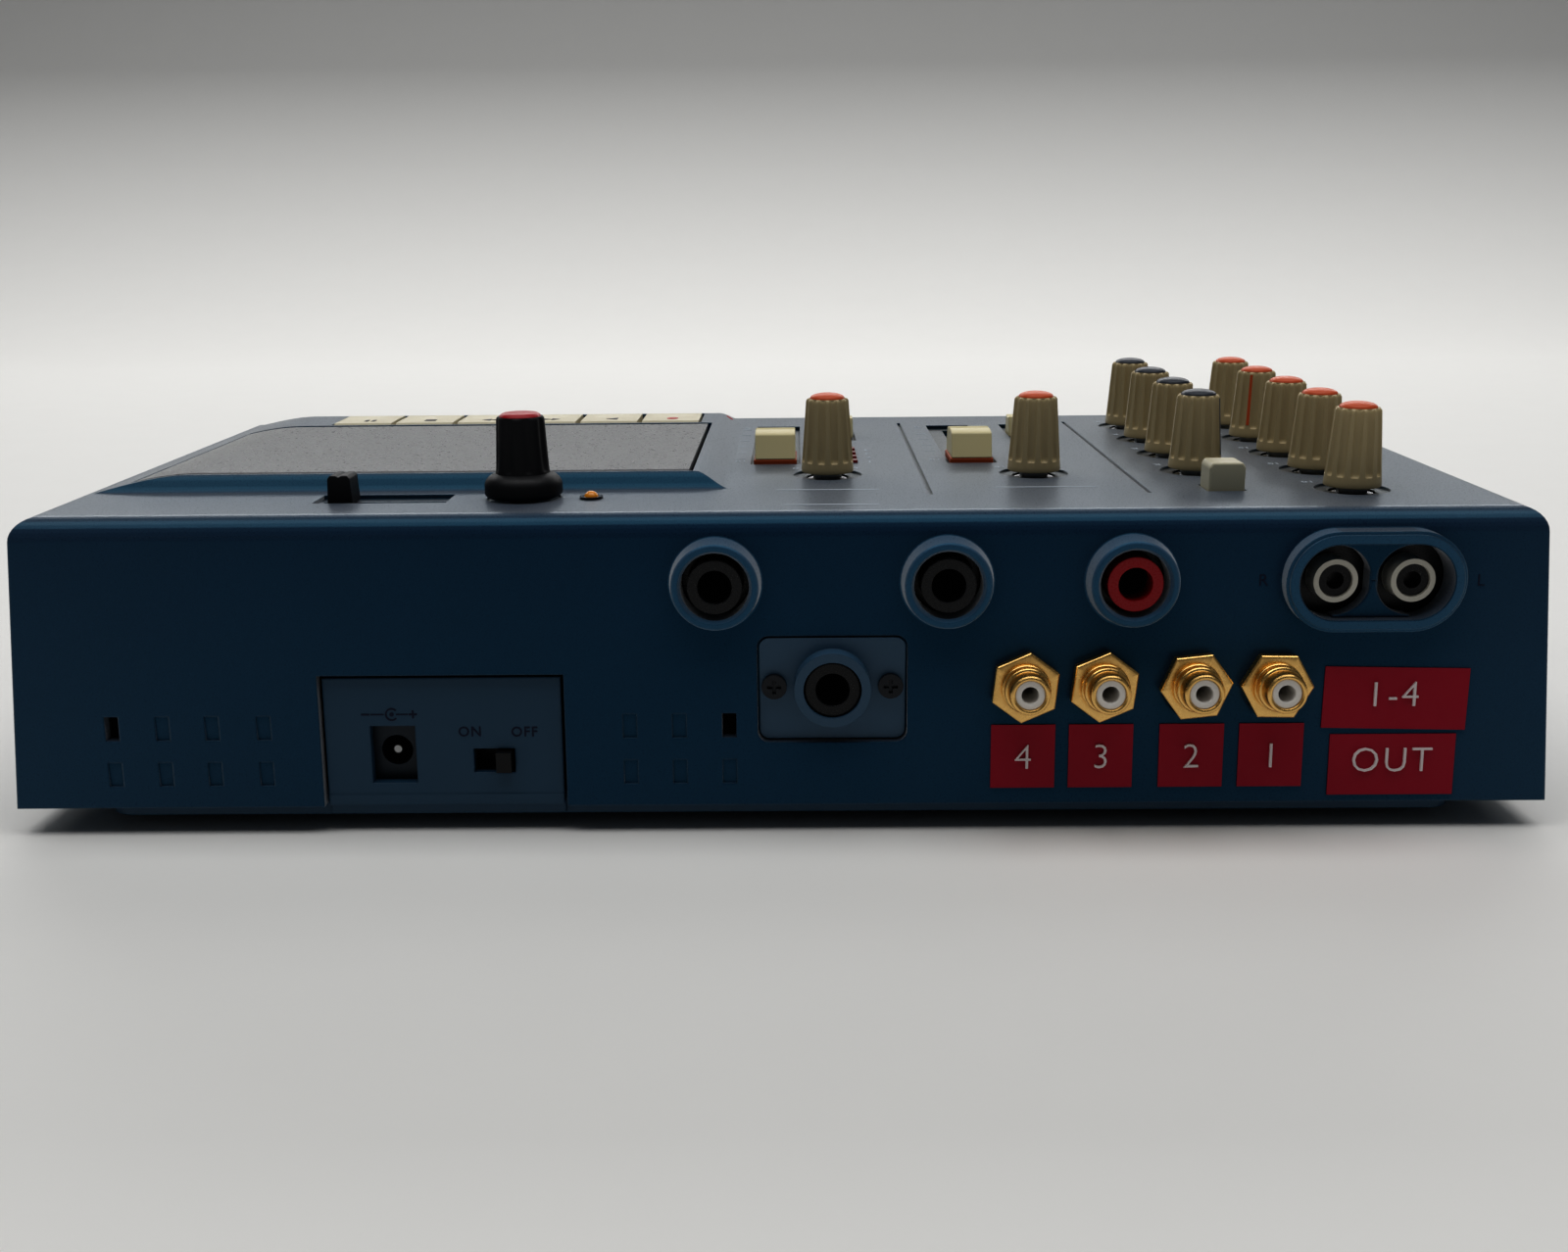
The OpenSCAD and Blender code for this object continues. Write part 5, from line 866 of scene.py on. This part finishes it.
signs = {"record_key": [("disc", disc(1.5))],
         "play_key": [("arrow", arrow(3, 3.2, 0))],
         "rewind_key": [("arrow_a", arrow(2.3, 3, -1.2, -1)), ("arrow_b", arrow(2.3, 3, 1.2, -1))],
         "forward_key": [("arrow_a", arrow(2.3, 3, -1.2)), ("arrow_b", arrow(2.3, 3, 1.2))],
         "stop_key": [("square", bar(2.8, 2.8))],
         "pause_key": [("bar_a", bar(0.9, 3, -0.9)), ("bar_b", bar(0.9, 3, 0.9))]}
for index, (key, shapes) in enumerate(signs.items()):
    key_x = first_key_x + key_step * index + key_middle[0]
    for shape_name, outline in shapes:
        flat_print(f"{key}_{shape_name}", outline, print_red if key == "record_key" else print_dark,
                   (key_x, key_y, hollow_z), body=key)
print("key signs on", len(signs), "keys")

# %% [markdown]
# ## Counter digits
# The tape counter has three drums with the digits 0 to 9 round each. A digit is bent round its drum by wrapping
# its flat height into an angle, so that it stays on the drum's skin as the drum turns.

# %% Counter digits
drum_r, digit_h = 6.4, 2.6
drum_y, drum_z = at_d(158), rest_z - 2.4 - drum_r - 0.5
drums = {"counter_wheel_1": 105.0, "counter_wheel_10": 100.0, "counter_wheel_100": 95.0}
for drum, x in drums.items():
    points, faces = [], []
    for digit in range(10):
        flat = lettering("digit_work", str(digit), digit_h, (0, 0, 0), (1, 0, 0), (0, 1, 0), label_white, "wheel_black")
        start = len(points)
        for v in flat.data.vertices:
            a, b, h = v.co.x / MM, v.co.y / MM, v.co.z / MM
            angle = math.radians(90 - 36 * digit) - b / drum_r
            r = drum_r + h
            points.append((x + a, drum_y - r * math.cos(angle), drum_z + r * math.sin(angle)))
        faces += [tuple(start + i for i in p.vertices) for p in flat.data.polygons]
        bpy.data.objects.remove(flat)
    piece(f"{drum}_digits", points, faces, drum, label_white, 40)
print("drums with digits:", len(drums))

# %% [markdown]
# ## Sign of the power jack
# By the power jack a small sign shows the plug's polarity: a minus, a ring with a dot, and a plus. The shapes
# are plain thin prints on the panel's face.


# %% Polarity sign
sign_z, jack_x, sunk = 23.7, power_jack[0], 0.99


def power_print(name, outline, x):
    origin = Vector((x, face_y(sign_z) - sunk, sign_z))
    flat_print(name, outline, print_blue, origin, right=(-1, 0, 0), up=face_up)


arm, half = 0.8, 0.18
plus = [(-arm, -half), (-half, -half), (-half, -arm), (half, -arm), (half, -half), (arm, -half),
        (arm, half), (half, half), (half, arm), (-half, arm), (-half, half), (-arm, half)]
open_ring = arc((0, 0), (1.3, 1.3), range(40, 321, 20)) + arc((0, 0), (0.95, 0.95), range(320, 39, -20))
power_print("polarity_minus", bar(1.6, 0.35), jack_x + 5.1)
power_print("polarity_plus", plus, jack_x - 4.1)
power_print("polarity_ring", open_ring, jack_x)
power_print("polarity_dot", disc(0.42), jack_x)
power_print("polarity_line_a", bar(2.6, 0.25), jack_x + 2.8)
power_print("polarity_line_b", bar(2.3, 0.25), jack_x - 2.0)

# %% [markdown]
# ## The studio
# A pale sweep stands in for the table and the wall behind it: it runs level under the recorder, then curves up
# with no corner, and painted shade darkens its paper a little towards the top. Three wide soft lights hang over
# it: the main one above the recorder, a weak one beyond it over the wall's foot, and a low strip there whose light
# slides along the top edges. So the face towards the camera lies in shade and the top shines, as in the portrait.

# %% Floor and backdrop
sweep_half, bend_y, bend_r, wall_top = 4500, -850, 560, 1800
sweep = [(sweep_half, 0), (900, 0), (0, 0), (-500, 0), (bend_y, 0)]
sweep += arc((bend_y, bend_r), (bend_r, bend_r), range(-95, -181, -5))
sweep += [(bend_y - bend_r, wall_top)]
points = [Vector((x, y, z)) * MM for y, z in sweep for x in (-sweep_half, sweep_half)]
faces = [(2 * i, 2 * i + 1, 2 * i + 3, 2 * i + 2) for i in range(len(sweep) - 1)]
sweep_mesh = bpy.data.meshes.new("studio_sweep")
sweep_mesh.from_pydata(points, [], faces)
sweep_mesh.shade_smooth()
backdrop = bpy.data.objects.new("studio_sweep", sweep_mesh)
bpy.context.scene.collection.objects.link(backdrop)
sweep_paper = finish("sweep_paper", tone(236, 235, 232), 0.7, grain=1.5, relief=0.01, wander=0.01, edge=0.0)
tree = sweep_paper.node_tree
place = tree.nodes.new("ShaderNodeTexCoord")
parts = tree.nodes.new("ShaderNodeSeparateXYZ")
tree.links.new(place.outputs["Object"], parts.inputs[0])
# Painted shade: the wall's paper grows darker towards the top.
painted_wall_shade = spread(tree, parts.outputs["Z"], 0.0, 1.0, into_low=-0.02, into_high=0.42)
paint(sweep_paper, painted_wall_shade, tone(186, 186, 185))
sweep_mesh.materials.append(sweep_paper)
print("sweep reaches", wall_top, "mm up")


# %% Lights
def soft_light(name, place, target, size, power):
    """A rectangle of light: its place and target in millimetres, its size in metres."""
    data = bpy.data.lights.new(name, "AREA")
    data.shape = "RECTANGLE"
    data.size, data.size_y = size
    data.energy = power
    lamp = bpy.data.objects.new(name, data)
    bpy.context.scene.collection.objects.link(lamp)
    lamp.location = Vector(place) * MM
    aim = (Vector(target) - Vector(place)).normalized()
    lamp.rotation_euler = aim.to_track_quat("-Z", "Y").to_euler()


beyond_y, above_y, ceiling_z = -1150, 200, 1500
soft_light("far_light", (0, beyond_y, ceiling_z), (0, beyond_y, 0), (2.6, 0.8), 3)
soft_light("sheen_light", (0, beyond_y, 620), (0, 0, panel_z), (2.4, 0.25), 5.5)
soft_light("near_light", (0, above_y, ceiling_z), (0, above_y, 0), (2.2, 1.0), 13)
world = bpy.data.worlds.new("studio_world")
bpy.context.scene.world = world
world.use_nodes = True
background = world.node_tree.nodes["Background"]
background.inputs["Color"].default_value = (0.92, 0.95, 1.0, 1.0)
background.inputs["Strength"].default_value = 0.06
